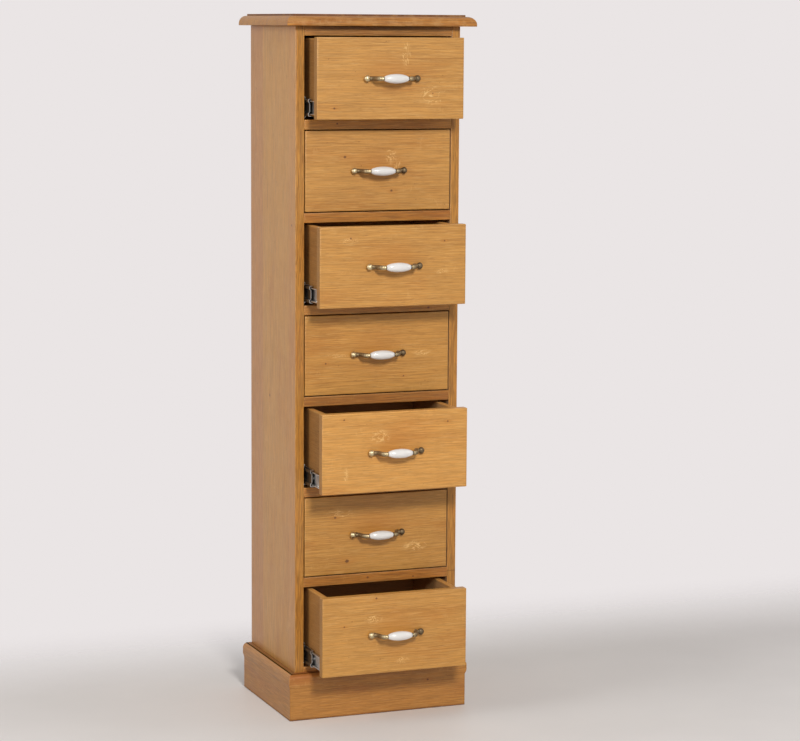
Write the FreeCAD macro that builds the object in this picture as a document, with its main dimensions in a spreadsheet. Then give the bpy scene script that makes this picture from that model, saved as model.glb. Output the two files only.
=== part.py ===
"""Semainier: a tall, narrow chest of seven drawers in stained spruce.

Frame: X to the right seen from the front, +Z up, the front faces -Y.
The origin is on the floor, at the middle of the back edge.
"""

import FreeCAD
import Part
import Sketcher
import math
import os
import re

DRAWERS = 7

# name of the cell, value in millimetres, what it measures
SIZES = (
    ("carcase_width", 380, "over the outer faces of the two side boards"),
    ("carcase_depth", 305, "from the wall to the front edges of the side boards"),
    ("overall_height", 1540, "floor to the upper face of the top board"),
    ("board_thickness", 20, "side boards, drawer fronts and rear base rail"),
    ("edge_chamfer", 1, "eased front edges of side boards and rails"),
    ("top_thickness", 25, "top board with its moulded edge"),
    ("top_overhang", 28, "top board past the carcase, left, right and front"),
    ("top_step", 4, "height of the small step above the rounded edge"),
    ("top_round", 17, "quarter round of the top board's edge"),
    ("top_ledge", 2.5, "flat between the quarter round and the step"),
    ("back_thickness", 6, "back panel, flush in its rebates"),
    ("rebate_width", 10, "rebate in each side board for the back panel"),
    ("opening_height", 179, "clear height of one drawer opening"),
    ("rail_height", 21, "rails between the drawers, and the base board"),
    ("rail_depth", 60, "front to back of the rails"),
    ("base_top", 115, "upper face of the base board"),
    ("plinth_height", 104, "plinth mouldings"),
    ("plinth_thickness", 18, "flat face of the plinth, out from the carcase"),
    ("plinth_nose", 3, "nose of the plinth past its flat face"),
    ("plinth_nose_height", 33, "nose from its lower edge to the top"),
    ("plinth_slope", 9, "slope from the flat face out to the nose"),
    ("plinth_round", 11, "round over the top of the nose"),
    ("block_leg", 35, "glue block along either face"),
    ("block_height", 60, "glue block under the base board"),
    ("front_side_gap", 2, "drawer front to the opening, left and right"),
    ("front_end_gap", 2.5, "drawer front to the opening, top and bottom"),
    ("front_round", 1.5, "eased edges of the drawer front"),
    ("box_side", 12, "drawer side and drawer back"),
    ("box_length", 252, "drawer side, front to back"),
    ("box_foot", 6, "lower edge of the drawer side above that of the front"),
    ("box_drop", 3, "upper edge of the drawer side below that of the front"),
    ("bottom_thickness", 4, "plywood bottom of the drawer"),
    ("bottom_rise", 16, "underside of the bottom above the front's lower edge"),
    ("groove_depth", 6, "groove for the bottom, in the front and the sides"),
    ("runner_space", 12.7, "side board to drawer side, filled by one runner"),
    ("runner_length", 250, "each of the three members of a runner"),
    ("runner_setback", 1, "runner behind the rear face of the drawer front"),
    ("runner_rise", 26.5, "centre line of the runner above the opening's floor"),
    ("runner_sheet", 1.2, "steel sheet of the runner"),
    ("runner_bend", 1.8, "cut-off of a bent corner of the sheet"),
    ("outer_height", 45.7, "outer member, screwed to the side board"),
    ("outer_depth", 10.4, "outer member's flanges"),
    ("outer_lip", 3.4, "outer member's lips, over the outer balls"),
    ("middle_height", 37.4, "middle member"),
    ("middle_depth", 8, "middle member's flanges"),
    ("middle_gap", 2.6, "middle member in from the side board"),
    ("middle_step", 3, "middle of that web, set in between its ball tracks"),
    ("middle_track", 6.5, "ball tracks of the middle member, top and bottom"),
    ("inner_height", 28.8, "inner member, screwed to the drawer side"),
    ("inner_depth", 7.6, "inner member's flanges"),
    ("ball_row_length", 83, "cage with its row of balls"),
    ("ball_row_width", 3.2, "cage across the track"),
    ("ball_row_end", 10, "cage in from the end of the middle member"),
    ("ball_row_play", 0.3, "cage short of the member that it runs in"),
    ("handle_spacing", 96, "centres of the two screw bosses"),
    ("handle_reach", 30, "axis of the grip out from the drawer front"),
    ("tip_offset", 57.5, "centre of the ball tip from the middle of the handle"),
    ("tip_radius", 6.5, "ball tip"),
    ("tip_rise", 6.7, "centre of the ball tip out from the drawer front"),
    ("waist_radius", 3.6, "narrow neck beside the ball tip"),
    ("foot_radius", 4.1, "foot of the arm, over its screw boss"),
    ("foot_length", 8, "foot of the arm, along the handle"),
    ("arm_radius", 3.8, "bowed part of the arm"),
    ("bow_start", 50, "foot end of the bow from the middle of the handle"),
    ("bow_end", 35, "tulip end of the bow from the middle of the handle"),
    ("rim_radius", 4.9, "tulip's rim against the porcelain"),
    ("grip_length", 56.4, "porcelain olive"),
    ("grip_radius", 10.2, "porcelain olive at its middle"),
    ("grip_taper", 30.5, "half-length of the ellipse that the olive follows"),
    ("bore_radius", 2.6, "bore through the porcelain"),
    ("rod_radius", 2.3, "steel rod in that bore"),
    ("open_1", 75, "drawer 1, the uppermost, pulled out this far"),
    ("open_2", 0, "drawer 2"),
    ("open_3", 95, "drawer 3"),
    ("open_4", 0, "drawer 4"),
    ("open_5", 112, "drawer 5"),
    ("open_6", 0, "drawer 6"),
    ("open_7", 117, "drawer 7, the lowest"),
)

CELLS = {name for name, value, note in SIZES}

doc = FreeCAD.newDocument("semainier")
sheet = doc.addObject("Spreadsheet::Sheet", "sizes")
for row, (name, value, note) in enumerate(SIZES, start=1):
    sheet.set(f"A{row}", name)
    sheet.set(f"B{row}", str(value))
    sheet.set(f"C{row}", note)
    sheet.setAlias(f"B{row}", name)
doc.recompute()

nodes = []


# ---- helpers ----------------------------------------------------------------


def formula(text):
    """The text with each cell name pointed at the sheet."""
    return re.sub(
        r"[a-z_]+[a-z0-9_]*",
        lambda word: "sizes." + word[0] if word[0] in CELLS else word[0],
        text,
    )


def bind(thing, prop, text):
    thing.setExpression(prop, formula(text))


def put(thing, x="0", y="0", z="0"):
    """Bind the thing's position to three formulas."""
    bind(thing, "Placement.Base.x", x)
    bind(thing, "Placement.Base.y", y)
    bind(thing, "Placement.Base.z", z)
    return thing


def node(thing):
    """Mark the thing as a sub-part, which gets a file named by its Label."""
    nodes.append(thing)
    return thing


def group(label, members, x="0", y="0", z="0"):
    """One object that shows the members at another place."""
    together = doc.addObject("Part::Compound", label)
    together.Label = label
    together.Links = members
    return put(together, x, y, z)


def mirrored(label, source):
    """The left-hand piece turned into the right-hand one, across X = 0."""
    twin = doc.addObject("Part::Mirroring", label)
    twin.Label = label
    twin.Source = source
    twin.Normal = (1, 0, 0)
    return twin


def board(label, length, width, height, x, y, z):
    """Plain square-edged board with its low corner at x, y, z."""
    plank = doc.addObject("Part::Box", label)
    plank.Label = label
    bind(plank, "Length", length)
    bind(plank, "Width", width)
    bind(plank, "Height", height)
    return put(plank, x, y, z)


def new_body(label):
    body = doc.addObject("PartDesign::Body", label)
    body.Label = label
    return body


def new_sketch(body, role, height="0"):
    """Sketch on one of the body's own origin planes, or parallel to it at a height."""
    sketch = body.newObject("Sketcher::SketchObject", f"{body.Name}_outline")
    planes = [item for item in body.Origin.OriginFeatures if item.Role == role]
    sketch.AttachmentSupport = [(planes[0], "")]
    sketch.MapMode = "FlatFace"
    bind(sketch, "AttachmentOffset.Base.z", height)
    return sketch


def draw(sketch, corners, closed=True):
    """Chain of straight lines; each corner is a pair of formulas, across and up."""
    count = len(corners) if closed else len(corners) - 1
    start = len(sketch.Geometry)
    turns = [2 * math.pi * step / count for step in range(count + 1)]
    ring = [FreeCAD.Vector(math.cos(turn), math.sin(turn), 0) for turn in turns]
    for index in range(count):
        sketch.addGeometry(Part.LineSegment(ring[index], ring[index + 1]), False)
    joints = count if closed else count - 1
    for index in range(joints):
        following = start + (index + 1) % count
        sketch.addConstraint(
            Sketcher.Constraint("Coincident", start + index, 2, following, 1)
        )
    for index, corner in enumerate(corners):
        line, end = (start + index, 1) if index < count else (start + index - 1, 2)
        for kind, value, text in zip(("DistanceX", "DistanceY"), ring[index], corner):
            rule = sketch.addConstraint(
                Sketcher.Constraint(kind, -1, 1, line, end, value)
            )
            bind(sketch, f"Constraints[{rule}]", text)
    return sketch


def rectangle(sketch, left, right, low, high):
    return draw(sketch, [(left, low), (right, low), (right, high), (left, high)])


def pad(body, sketch, length, midplane=False):
    feature = body.newObject("PartDesign::Pad", f"{body.Name}_pad")
    feature.Profile = sketch
    feature.Midplane = midplane
    bind(feature, "Length", length)
    return feature


def pocket(body, sketch, length, reverse=False):
    feature = body.newObject("PartDesign::Pocket", f"{body.Name}_pocket")
    feature.Profile = sketch
    feature.Reversed = reverse
    bind(feature, "Length", length)
    return feature


def pocket_through(body, sketch):
    feature = body.newObject("PartDesign::Pocket", f"{body.Name}_pocket")
    feature.Profile = sketch
    feature.Type = "ThroughAll"
    feature.Midplane = True
    return feature


def edges_where(feature, test):
    """Names of the feature's edges whose middle point passes the test."""
    found = []
    for number, edge in enumerate(feature.Shape.Edges, start=1):
        if test(edge.CenterOfMass):
            found.append(f"Edge{number}")
    return found


def dress(body, kind, base, test, prop, text):
    """Fillet or chamfer on the edges of the base feature that pass the test."""
    doc.recompute()
    feature = body.newObject(f"PartDesign::{kind}", f"{body.Name}_{kind}")
    feature.Base = (base, edges_where(base, test))
    bind(feature, prop, text)
    return feature


def near(a, b):
    return abs(a - b) < 0.01


# ---- carcase ----------------------------------------------------------------


def top_board():
    """Top with a quarter round and a small step on its front and both ends."""
    body = new_body("top_board")
    slab = rectangle(
        new_sketch(body, "XY_Plane"),
        "-carcase_width / 2 - top_overhang",
        "carcase_width / 2 + top_overhang",
        "-carcase_depth - top_overhang",
        "0",
    )
    lower = pad(body, slab, "top_thickness - top_step")
    dress(
        body,
        "Fillet",
        lower,
        lambda at: near(at.z, sheet.top_thickness - sheet.top_step) and at.y < -1,
        "Radius",
        "top_round",
    )
    inset = "top_overhang - top_round - top_ledge"
    table = rectangle(
        new_sketch(body, "XY_Plane", "top_thickness - top_step"),
        f"-carcase_width / 2 - ({inset})",
        f"carcase_width / 2 + ({inset})",
        f"-carcase_depth - ({inset})",
        "0",
    )
    pad(body, table, "top_step")
    return node(put(body, z="overall_height - top_thickness"))


def side_boards():
    """Side boards down to the floor, rebated for the back panel above the base board."""
    body = new_body("side_left")
    plank = rectangle(
        new_sketch(body, "YZ_Plane"),
        "-carcase_depth",
        "0",
        "0",
        "overall_height - top_thickness",
    )
    blank = pad(body, plank, "board_thickness")
    dress(
        body,
        "Chamfer",
        blank,
        lambda at: near(at.y, -sheet.carcase_depth) and at.z > 1 and at.z < 1000,
        "Size",
        "edge_chamfer",
    )
    rebate = rectangle(
        new_sketch(body, "YZ_Plane", "board_thickness"),
        "-back_thickness",
        "0",
        "base_top - rail_height",
        "overall_height - top_thickness",
    )
    pocket(body, rebate, "rebate_width")
    put(body, x="-carcase_width / 2")
    node(body)
    node(mirrored("side_right", body))


def rails():
    """Top rail and the six rails between the drawers, all of one section."""
    body = new_body("rail")
    plank = rectangle(
        new_sketch(body, "XY_Plane"),
        "-carcase_width / 2 + board_thickness",
        "carcase_width / 2 - board_thickness",
        "-carcase_depth",
        "-carcase_depth + rail_depth",
    )
    blank = pad(body, plank, "rail_height")
    dress(
        body,
        "Chamfer",
        blank,
        lambda at: near(at.y, -sheet.carcase_depth) and near(at.x, 0),
        "Size",
        "edge_chamfer",
    )
    top = "overall_height - top_thickness - rail_height"
    node(group("top_rail", [body], z=top))
    for number in range(1, DRAWERS):
        node(group(f"divider_rail_{number}", [body], z=f"{floor_of(number)} - rail_height"))


def back_and_base():
    """Back panel, base board and the plain rail that closes the base at the back."""
    inner = "carcase_width - 2 * board_thickness"
    left = "-carcase_width / 2 + board_thickness"
    node(
        board(
            "back_panel",
            f"{inner} + 2 * rebate_width",
            "back_thickness",
            "overall_height - top_thickness - base_top + rail_height",
            f"{left} - rebate_width",
            "-back_thickness",
            "base_top - rail_height",
        )
    )
    node(
        board(
            "base_board",
            inner,
            "carcase_depth - back_thickness",
            "rail_height",
            left,
            "-carcase_depth",
            "base_top - rail_height",
        )
    )
    node(
        board(
            "plinth_back",
            inner,
            "board_thickness",
            "base_top - rail_height",
            left,
            "-board_thickness",
            "0",
        )
    )


def plinth_section(sketch, out):
    """Plinth moulding: flat face, easy slope, and the nose that is rounded later.

    out turns a distance from the carcase into the sketch's across formula."""
    nose = "plinth_thickness + plinth_nose"
    step = "plinth_height - plinth_nose_height"
    return draw(
        sketch,
        [
            (out("0"), "0"),
            (out("plinth_thickness"), "0"),
            (out("plinth_thickness"), step),
            (out(nose), f"{step} + plinth_slope"),
            (out(nose), "plinth_height"),
            (out("0"), "plinth_height"),
        ],
    )


def plinth_mouldings():
    """Front and side mouldings, mitred where they meet at the two front corners."""
    nose = sheet.plinth_thickness + sheet.plinth_nose
    reach = "plinth_thickness + plinth_nose"
    front = new_body("plinth_front")
    section = plinth_section(
        new_sketch(front, "YZ_Plane"), lambda out: f"-carcase_depth - ({out})"
    )
    bar = pad(front, section, f"carcase_width + 2 * ({reach})", midplane=True)
    dress(
        front,
        "Fillet",
        bar,
        lambda at: near(at.z, sheet.plinth_height)
        and near(at.y, -sheet.carcase_depth - nose),
        "Radius",
        "plinth_round",
    )
    mitres = new_sketch(front, "XY_Plane")
    for side in ("-", ""):
        draw(
            mitres,
            [
                (f"{side}(carcase_width / 2)", "-carcase_depth"),
                (f"{side}(carcase_width / 2 + {reach})", f"-carcase_depth - ({reach})"),
                (f"{side}(carcase_width / 2 + {reach})", "-carcase_depth"),
            ],
        )
    pocket_through(front, mitres)
    node(front)

    left = new_body("plinth_left")
    section = plinth_section(
        new_sketch(left, "XZ_Plane"), lambda out: f"-carcase_width / 2 - ({out})"
    )
    bar = pad(left, section, f"carcase_depth + {reach}")
    dress(
        left,
        "Fillet",
        bar,
        lambda at: near(at.z, sheet.plinth_height)
        and near(at.x, -sheet.carcase_width / 2 - nose),
        "Radius",
        "plinth_round",
    )
    mitre = draw(
        new_sketch(left, "XY_Plane"),
        [
            ("-carcase_width / 2", "-carcase_depth"),
            (f"-carcase_width / 2 - ({reach})", f"-carcase_depth - ({reach})"),
            ("-carcase_width / 2", f"-carcase_depth - ({reach})"),
        ],
    )
    pocket_through(left, mitre)
    node(left)
    node(mirrored("plinth_right", left))


def corner_blocks():
    """Four three-cornered blocks glued under the base board, in the corners of the base."""
    body = new_body("glue_block")
    triangle = draw(
        new_sketch(body, "XY_Plane"),
        [("0", "0"), ("block_leg", "0"), ("0", "block_leg")],
    )
    pad(body, triangle, "block_height")
    reach = "(carcase_width / 2 - board_thickness)"
    corners = (
        (f"-{reach}", "-carcase_depth"),
        (reach, "-carcase_depth"),
        (reach, "-board_thickness"),
        (f"-{reach}", "-board_thickness"),
    )
    blocks = []
    for turn, (x, y) in enumerate(corners):
        block = group(
            f"glue_block_{turn + 1}", [body], x, y, "base_top - rail_height - block_height"
        )
        block.Placement.Rotation = FreeCAD.Rotation(FreeCAD.Vector(0, 0, 1), 90 * turn)
        blocks.append(block)
    node(group("corner_blocks", blocks))


# ---- where each drawer is ---------------------------------------------------


def floor_of(number):
    """Height of the floor of a drawer's opening; drawer 1 is the uppermost."""
    return f"base_top + {DRAWERS - number} * (opening_height + rail_height)"


def drawer_place(number):
    """The drawer's own origin: the middle of the lower edge of its front's rear face."""
    return {
        "y": f"-carcase_depth + board_thickness - open_{number}",
        "z": f"{floor_of(number)} + front_end_gap",
    }


# ---- drawer box, in the drawer's own frame ----------------------------------


def drawer_front():
    """Front with eased outer edges and a groove for the bottom."""
    body = new_body("front")
    half = "(carcase_width / 2 - board_thickness - front_side_gap)"
    face = rectangle(
        new_sketch(body, "XZ_Plane"),
        f"-{half}",
        half,
        "0",
        "opening_height - 2 * front_end_gap",
    )
    slab = pad(body, face, "board_thickness")
    dress(
        body,
        "Fillet",
        slab,
        lambda at: near(at.y, -sheet.board_thickness),
        "Radius",
        "front_round",
    )
    groove = rectangle(
        new_sketch(body, "XZ_Plane"),
        f"-({BOTTOM_HALF})",
        BOTTOM_HALF,
        "bottom_rise",
        "bottom_rise + bottom_thickness",
    )
    pocket(body, groove, "groove_depth", reverse=True)
    return body


BOX_HALF = "(carcase_width / 2 - board_thickness - runner_space)"
BOTTOM_HALF = f"{BOX_HALF} - box_side + groove_depth"
FRONT_MIDDLE = "opening_height / 2 - front_end_gap"
BOX_TOP = "opening_height - 2 * front_end_gap - box_drop"


def drawer_box():
    """Two grooved sides, the back between them and the bottom that slides in under it."""
    side = new_body("box_side_left")
    plank = rectangle(
        new_sketch(side, "YZ_Plane"), "0", "box_length", "box_foot", BOX_TOP
    )
    pad(side, plank, "box_side")
    groove = rectangle(
        new_sketch(side, "YZ_Plane", "box_side"),
        "0",
        "box_length",
        "bottom_rise",
        "bottom_rise + bottom_thickness",
    )
    pocket(side, groove, "groove_depth")
    put(side, x=f"-{BOX_HALF}")
    back = board(
        "box_back",
        f"2 * ({BOX_HALF} - box_side)",
        "box_side",
        f"{BOX_TOP} - bottom_rise - bottom_thickness",
        f"-{BOX_HALF} + box_side",
        "box_length - box_side",
        "bottom_rise + bottom_thickness",
    )
    bottom = board(
        "box_bottom",
        f"2 * ({BOTTOM_HALF})",
        "box_length + groove_depth",
        "bottom_thickness",
        f"-({BOTTOM_HALF})",
        "-groove_depth",
        "bottom_rise",
    )
    return [side, mirrored("box_side_right", side), back, bottom]


# ---- three-part runner ------------------------------------------------------


def channel(label, height, depth, lip, track=None):
    """Length of bent sheet, open to +X, its web on X = 0 and its centre line on Z = 0.

    lip is the height of the turned-in edges; a plain flange's lip is its own thickness.
    Between tracks of the given height the web is set in by middle_step."""
    body = new_body(label)
    half = f"{height} / 2"
    inside = "(runner_bend - runner_sheet * (2 - sqrt(2)))"
    lower = [
        (depth, f"-{half} + {lip}"),
        (depth, f"-{half} + runner_bend * {lip} / ({lip} + runner_bend)"),
        (f"{depth} - runner_bend * {lip} / ({lip} + runner_bend)", f"-{half}"),
        ("runner_bend", f"-{half}"),
        ("0", f"-{half} + runner_bend"),
    ]
    hollow = [
        ("runner_sheet", f"-{half} + runner_sheet + {inside}"),
        (f"runner_sheet + {inside}", f"-{half} + runner_sheet"),
    ]
    if lip == "runner_sheet":
        hollow.append((depth, f"-{half} + runner_sheet"))
        lower = lower[1:]
    else:
        hollow.append((f"{depth} - runner_sheet - {inside}", f"-{half} + runner_sheet"))
        hollow.append((f"{depth} - runner_sheet", f"-{half} + runner_sheet + {inside}"))
        hollow.append((f"{depth} - runner_sheet", f"-{half} + {lip}"))
    if track is not None:
        bend = "runner_sheet * (sqrt(2) - 1)"
        start = f"-{half} + {track}"
        lower.append(("0", start))
        lower.append(("middle_step", f"{start} + middle_step"))
        hollow.insert(0, ("runner_sheet", f"{start} - {bend}"))
        hollow.insert(0, ("runner_sheet + middle_step", f"{start} + middle_step - {bend}"))
    upper = [(across, f"-({up})") for across, up in reversed(lower)]
    upper_hollow = [(across, f"-({up})") for across, up in reversed(hollow)]
    section = draw(new_sketch(body, "XZ_Plane"), lower + upper + upper_hollow + hollow)
    bar = pad(body, section, "runner_length")
    bar.Reversed = True
    return body


def ball_rows():
    """Cages with their balls above and below the middle member's flanges, in its own frame.

    The outer pair stands near the rear end and the inner pair near the front end, where
    the neighbouring member still covers it when the drawer is drawn right out."""
    flange = "middle_height / 2"
    outer_gap = f"(outer_height / 2 - runner_sheet - {flange})"
    inner_gap = f"({flange} - runner_sheet - inner_height / 2)"
    rear = "runner_length - ball_row_end - ball_row_length"
    inner_across = "runner_space - inner_depth - middle_gap + ball_row_play"
    rows = []
    for name, gap, low, across, along in (
        ("outer_row", outer_gap, flange, "runner_bend + ball_row_play", rear),
        ("inner_row", inner_gap, f"{flange} - runner_sheet - {inner_gap} + ball_row_play", inner_across, "ball_row_end"),
    ):
        height = f"{gap} - ball_row_play"
        size = ("ball_row_width", "ball_row_length", height)
        rows.append(board(f"{name}_above", *size, across, along, low))
        rows.append(board(f"{name}_below", *size, across, along, f"-({low}) - ({height})"))
    return rows


def runner_members():
    """Left-hand outer, middle and inner members, nested one in the other."""
    inner_face = "carcase_width / 2 - board_thickness"
    outer = channel("outer_member", "outer_height", "outer_depth", "outer_lip")
    put(outer, x=f"-({inner_face})")
    sheet_part = channel(
        "middle_sheet", "middle_height", "middle_depth", "runner_sheet", track="middle_track"
    )
    middle = group("middle_member", [sheet_part, *ball_rows()], x=f"-({inner_face}) + middle_gap")
    inner = channel("inner_member", "inner_height", "inner_depth", "runner_sheet")
    inner.Placement.Rotation = FreeCAD.Rotation(FreeCAD.Vector(0, 0, 1), 180)
    put(inner, x=f"-{BOX_HALF}", y="runner_length")
    return outer, middle, inner


def runner_place(number, share):
    """A runner member's place when the drawer has carried it this share of its travel."""
    return {
        "y": f"-carcase_depth + board_thickness + runner_setback - open_{number} * {share}",
        "z": f"{floor_of(number)} + runner_rise",
    }


# ---- handle -----------------------------------------------------------------
# In a handle's own frame X points out of the drawer front, Y up and Z along the handle.
# Seven handles repeat, so round forms are many-sided ones with flat faces.

ARM_SIDES = 8
GRIP_SIDES = 20
GRIP_SPANS = 8
BALL_ANGLES = (25, 60, 95, 130)
BOW_SPANS = 5
TULIP_FORM = ((0, 0), (0.35, 0.1), (0.7, 0.7), (0.76, 0.45), (0.86, 1), (1, 1))


def ring_section(label, sides, radius, out, along):
    """Many-sided section across the handle."""
    section = doc.addObject("Part::RegularPolygon", label)
    section.Polygon = sides
    bind(section, "Circumradius", radius)
    return put(section, x=out, z=along)


def lathe(label, sides, rings):
    """Solid skin over many-sided rings; each ring is radius, distance out and along."""
    skin = doc.addObject("Part::Loft", label)
    skin.Sections = [
        ring_section(f"{label}_{number}", sides, *ring)
        for number, ring in enumerate(rings, start=1)
    ]
    skin.Solid = True
    skin.Ruled = True
    skin.Linearize = True
    return skin


def prism(label, radius, length, out, along):
    bar = doc.addObject("Part::Prism", label)
    bar.Polygon = ARM_SIDES
    bind(bar, "Circumradius", radius)
    bind(bar, "Height", length)
    return put(bar, x=out, z=along)


def tip_and_foot():
    """Ball tip, the waist beside it and the foot over the screw boss."""
    rings = [
        (
            f"tip_radius * sin({angle} deg)",
            "tip_rise",
            f"tip_offset + tip_radius * cos({angle} deg)",
        )
        for angle in BALL_ANGLES
    ]
    outer_end = "handle_spacing / 2 + foot_length / 2"
    rings.append(("waist_radius", "tip_rise", f"{outer_end} + 0.5"))
    rings.append(("foot_radius", "tip_rise", "handle_spacing / 2"))
    rings.append(("arm_radius", "tip_rise", "handle_spacing / 2 - foot_length / 2"))
    return lathe("tip_and_foot", ARM_SIDES, rings)


def bow():
    """The arm's S-shaped way from the foot out to the grip's axis."""
    corners = [("bow_start + 2", "tip_rise")]
    for step in range(BOW_SPANS + 1):
        part = f"({step} / {BOW_SPANS})"
        climb = f"(3 * {part} ^ 2 - 2 * {part} ^ 3)"
        corners.append(
            (
                f"bow_start + (bow_end - bow_start) * {part}",
                f"tip_rise + (handle_reach - tip_rise) * {climb}",
            )
        )
    corners.append(("bow_end - 2", "handle_reach"))
    route = doc.addObject("Sketcher::SketchObject", "bow_route")
    along = FreeCAD.Vector(0, 0, 1)
    out = FreeCAD.Vector(1, 0, 0)
    route.Placement.Rotation = FreeCAD.Rotation(along, out, along.cross(out))
    draw(route, corners, closed=False)
    rod = doc.addObject("Part::Sweep", "bow")
    rod.Sections = [
        ring_section("bow_section", ARM_SIDES, "arm_radius", "tip_rise", "bow_start + 2")
    ]
    rod.Spine = (route, [])
    rod.Solid = True
    rod.Transition = "Right corner"
    rod.Linearize = True
    return rod


def tulip():
    """Flare, groove and rim that hold the end of the porcelain."""
    length = "(bow_end + 1 - grip_length / 2)"
    rings = [
        (
            f"arm_radius + (rim_radius - arm_radius) * {flare}",
            "handle_reach",
            f"bow_end + 1 - {length} * {share}",
        )
        for share, flare in TULIP_FORM
    ]
    return lathe("tulip", ARM_SIDES, rings)


def handle_metal():
    """Two cast half bows on their screw bosses, and the steel rod that joins them."""
    boss = prism("screw_boss", "waist_radius", "tip_rise", "0", "handle_spacing / 2")
    boss.Placement.Rotation = FreeCAD.Rotation(FreeCAD.Vector(0, 1, 0), 90)
    arm = doc.addObject("Part::MultiFuse", "half_bow")
    arm.Shapes = [tip_and_foot(), bow(), tulip(), boss]
    twin = doc.addObject("Part::Mirroring", "half_bow_twin")
    twin.Source = arm
    twin.Normal = (0, 0, 1)
    half = "-grip_length / 2"
    return [arm, twin, prism("handle_rod", "rod_radius", "grip_length", "handle_reach", half)]


def handle_grip():
    """White porcelain olive, bored for the rod."""
    rings = []
    for step in range(GRIP_SPANS + 1):
        along = f"(-cos({180 / GRIP_SPANS * step} deg) * grip_length / 2)"
        radius = f"grip_radius * sqrt(1 - ({along} / grip_taper) ^ 2)"
        rings.append((radius, "handle_reach", along))
    olive = doc.addObject("Part::Cut", "porcelain_olive")
    olive.Base = lathe("olive", GRIP_SIDES, rings)
    olive.Tool = prism(
        "grip_bore", "bore_radius", "grip_length", "handle_reach", "-grip_length / 2"
    )
    return [olive]


def on_the_front(label, members, place):
    """Turn the handle's frame onto the middle of a drawer front's outer face."""
    fitted = group(
        label, members, y=f"{place['y']} - board_thickness", z=f"{place['z']} + {FRONT_MIDDLE}"
    )
    outward = FreeCAD.Vector(0, -1, 0)
    upward = FreeCAD.Vector(0, 0, 1)
    fitted.Placement.Rotation = FreeCAD.Rotation(outward, upward, outward.cross(upward))
    return fitted


# ---- the whole chest --------------------------------------------------------


def build_chest():
    top_board()
    side_boards()
    rails()
    back_and_base()
    plinth_mouldings()
    corner_blocks()

    front = drawer_front()
    box = drawer_box()
    outer, middle, inner = runner_members()
    outer_pair = [outer, mirrored("outer_member_right", outer)]
    middle_pair = [middle, mirrored("middle_member_right", middle)]
    inner_pair = [inner, mirrored("inner_member_right", inner)]
    metal = handle_metal()
    grip = handle_grip()

    cabinet_pairs = []
    for number in range(1, DRAWERS + 1):
        name = f"drawer_{number}"
        place = drawer_place(number)
        cabinet_pairs.append(
            group(f"cabinet_pair_{number}", outer_pair, **runner_place(number, 0))
        )
        node(group(f"{name}_slides", middle_pair, **runner_place(number, 0.5)))
        node(group(f"{name}_runners", inner_pair, **runner_place(number, 1)))
        node(group(f"{name}_front", [front], **place))
        node(group(f"{name}_box", box, **place))
        node(on_the_front(f"{name}_handle", metal, place))
        node(on_the_front(f"{name}_grip", grip, place))
    node(group("cabinet_runners", cabinet_pairs))


def check_document():
    """Stop on any object that failed, or a sub-part whose shape is missing or broken."""
    doc.recompute()
    failed = [
        item.Label
        for item in doc.Objects
        if {"Invalid", "Error"} & set(item.State)
    ]
    if failed:
        raise RuntimeError(f"not built: {failed}")
    for piece in nodes:
        if piece.Shape.isNull() or not piece.Shape.isValid() or not piece.Shape.Solids:
            raise RuntimeError(f"no sound shape: {piece.Label}")


def write_parts():
    os.makedirs("parts", exist_ok=True)
    for piece in nodes:
        piece.Shape.exportStep(f"parts/{piece.Label}.step")
        print(f"{piece.Label}: {len(piece.Shape.Solids)} solid(s)")


build_chest()
check_document()
write_parts()
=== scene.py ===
import math
import random

import bmesh
import bpy
from mathutils import Matrix, Vector


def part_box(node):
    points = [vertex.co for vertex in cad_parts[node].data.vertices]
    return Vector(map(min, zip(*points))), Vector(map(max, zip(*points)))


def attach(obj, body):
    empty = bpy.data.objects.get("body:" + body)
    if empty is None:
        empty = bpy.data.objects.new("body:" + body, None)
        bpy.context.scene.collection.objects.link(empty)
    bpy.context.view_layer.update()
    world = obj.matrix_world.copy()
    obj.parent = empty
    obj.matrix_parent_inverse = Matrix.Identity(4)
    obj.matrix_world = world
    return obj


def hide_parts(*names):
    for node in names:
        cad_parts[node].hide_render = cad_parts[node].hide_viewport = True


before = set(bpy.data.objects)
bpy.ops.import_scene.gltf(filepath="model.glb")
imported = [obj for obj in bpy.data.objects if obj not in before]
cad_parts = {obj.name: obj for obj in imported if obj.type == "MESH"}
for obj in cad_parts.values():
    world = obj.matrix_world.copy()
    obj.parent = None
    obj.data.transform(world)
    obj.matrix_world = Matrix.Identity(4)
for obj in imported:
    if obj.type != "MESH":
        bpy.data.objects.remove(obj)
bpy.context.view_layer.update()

scene = bpy.context.scene
mm = 0.001
drawers = range(1, 8)  # drawer 1 is the uppermost

print("semainier: view, floor and light")

viewPoint = {
    "place": (-2.00457, -5.51992, 1.51515),
    "turnRight": 0.375928,  # radians from straight ahead
    "tipDown": 0.133143,
    "lean": 0.006315,
    "lens": 115.69,
    "sensorWidth": 36,
}


def linkObject(name, data):
    thing = bpy.data.objects.new(name, data)
    scene.collection.objects.link(thing)
    return thing


def placeCamera(view):
    turn, tip, lean = view["turnRight"], view["tipDown"], view["lean"]
    ahead = Vector((math.sin(turn) * math.cos(tip), math.cos(turn) * math.cos(tip), -math.sin(tip)))
    level = Vector((math.cos(turn), -math.sin(turn), 0))
    upright = level.cross(ahead)
    across = level * math.cos(lean) + upright * math.sin(lean)
    up = upright * math.cos(lean) - level * math.sin(lean)
    lens = bpy.data.cameras.new("viewCamera")
    lens.lens = view["lens"]
    lens.sensor_width = view["sensorWidth"]
    camera = linkObject("viewCamera", lens)
    turned = Matrix((across, up, -ahead)).transposed().to_4x4()
    camera.matrix_world = Matrix.Translation(view["place"]) @ turned
    scene.camera = camera


def addNode(tree, kind, **settings):
    node = tree.nodes.new(kind)
    for name, value in settings.items():
        setattr(node, name, value)
    return node


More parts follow.
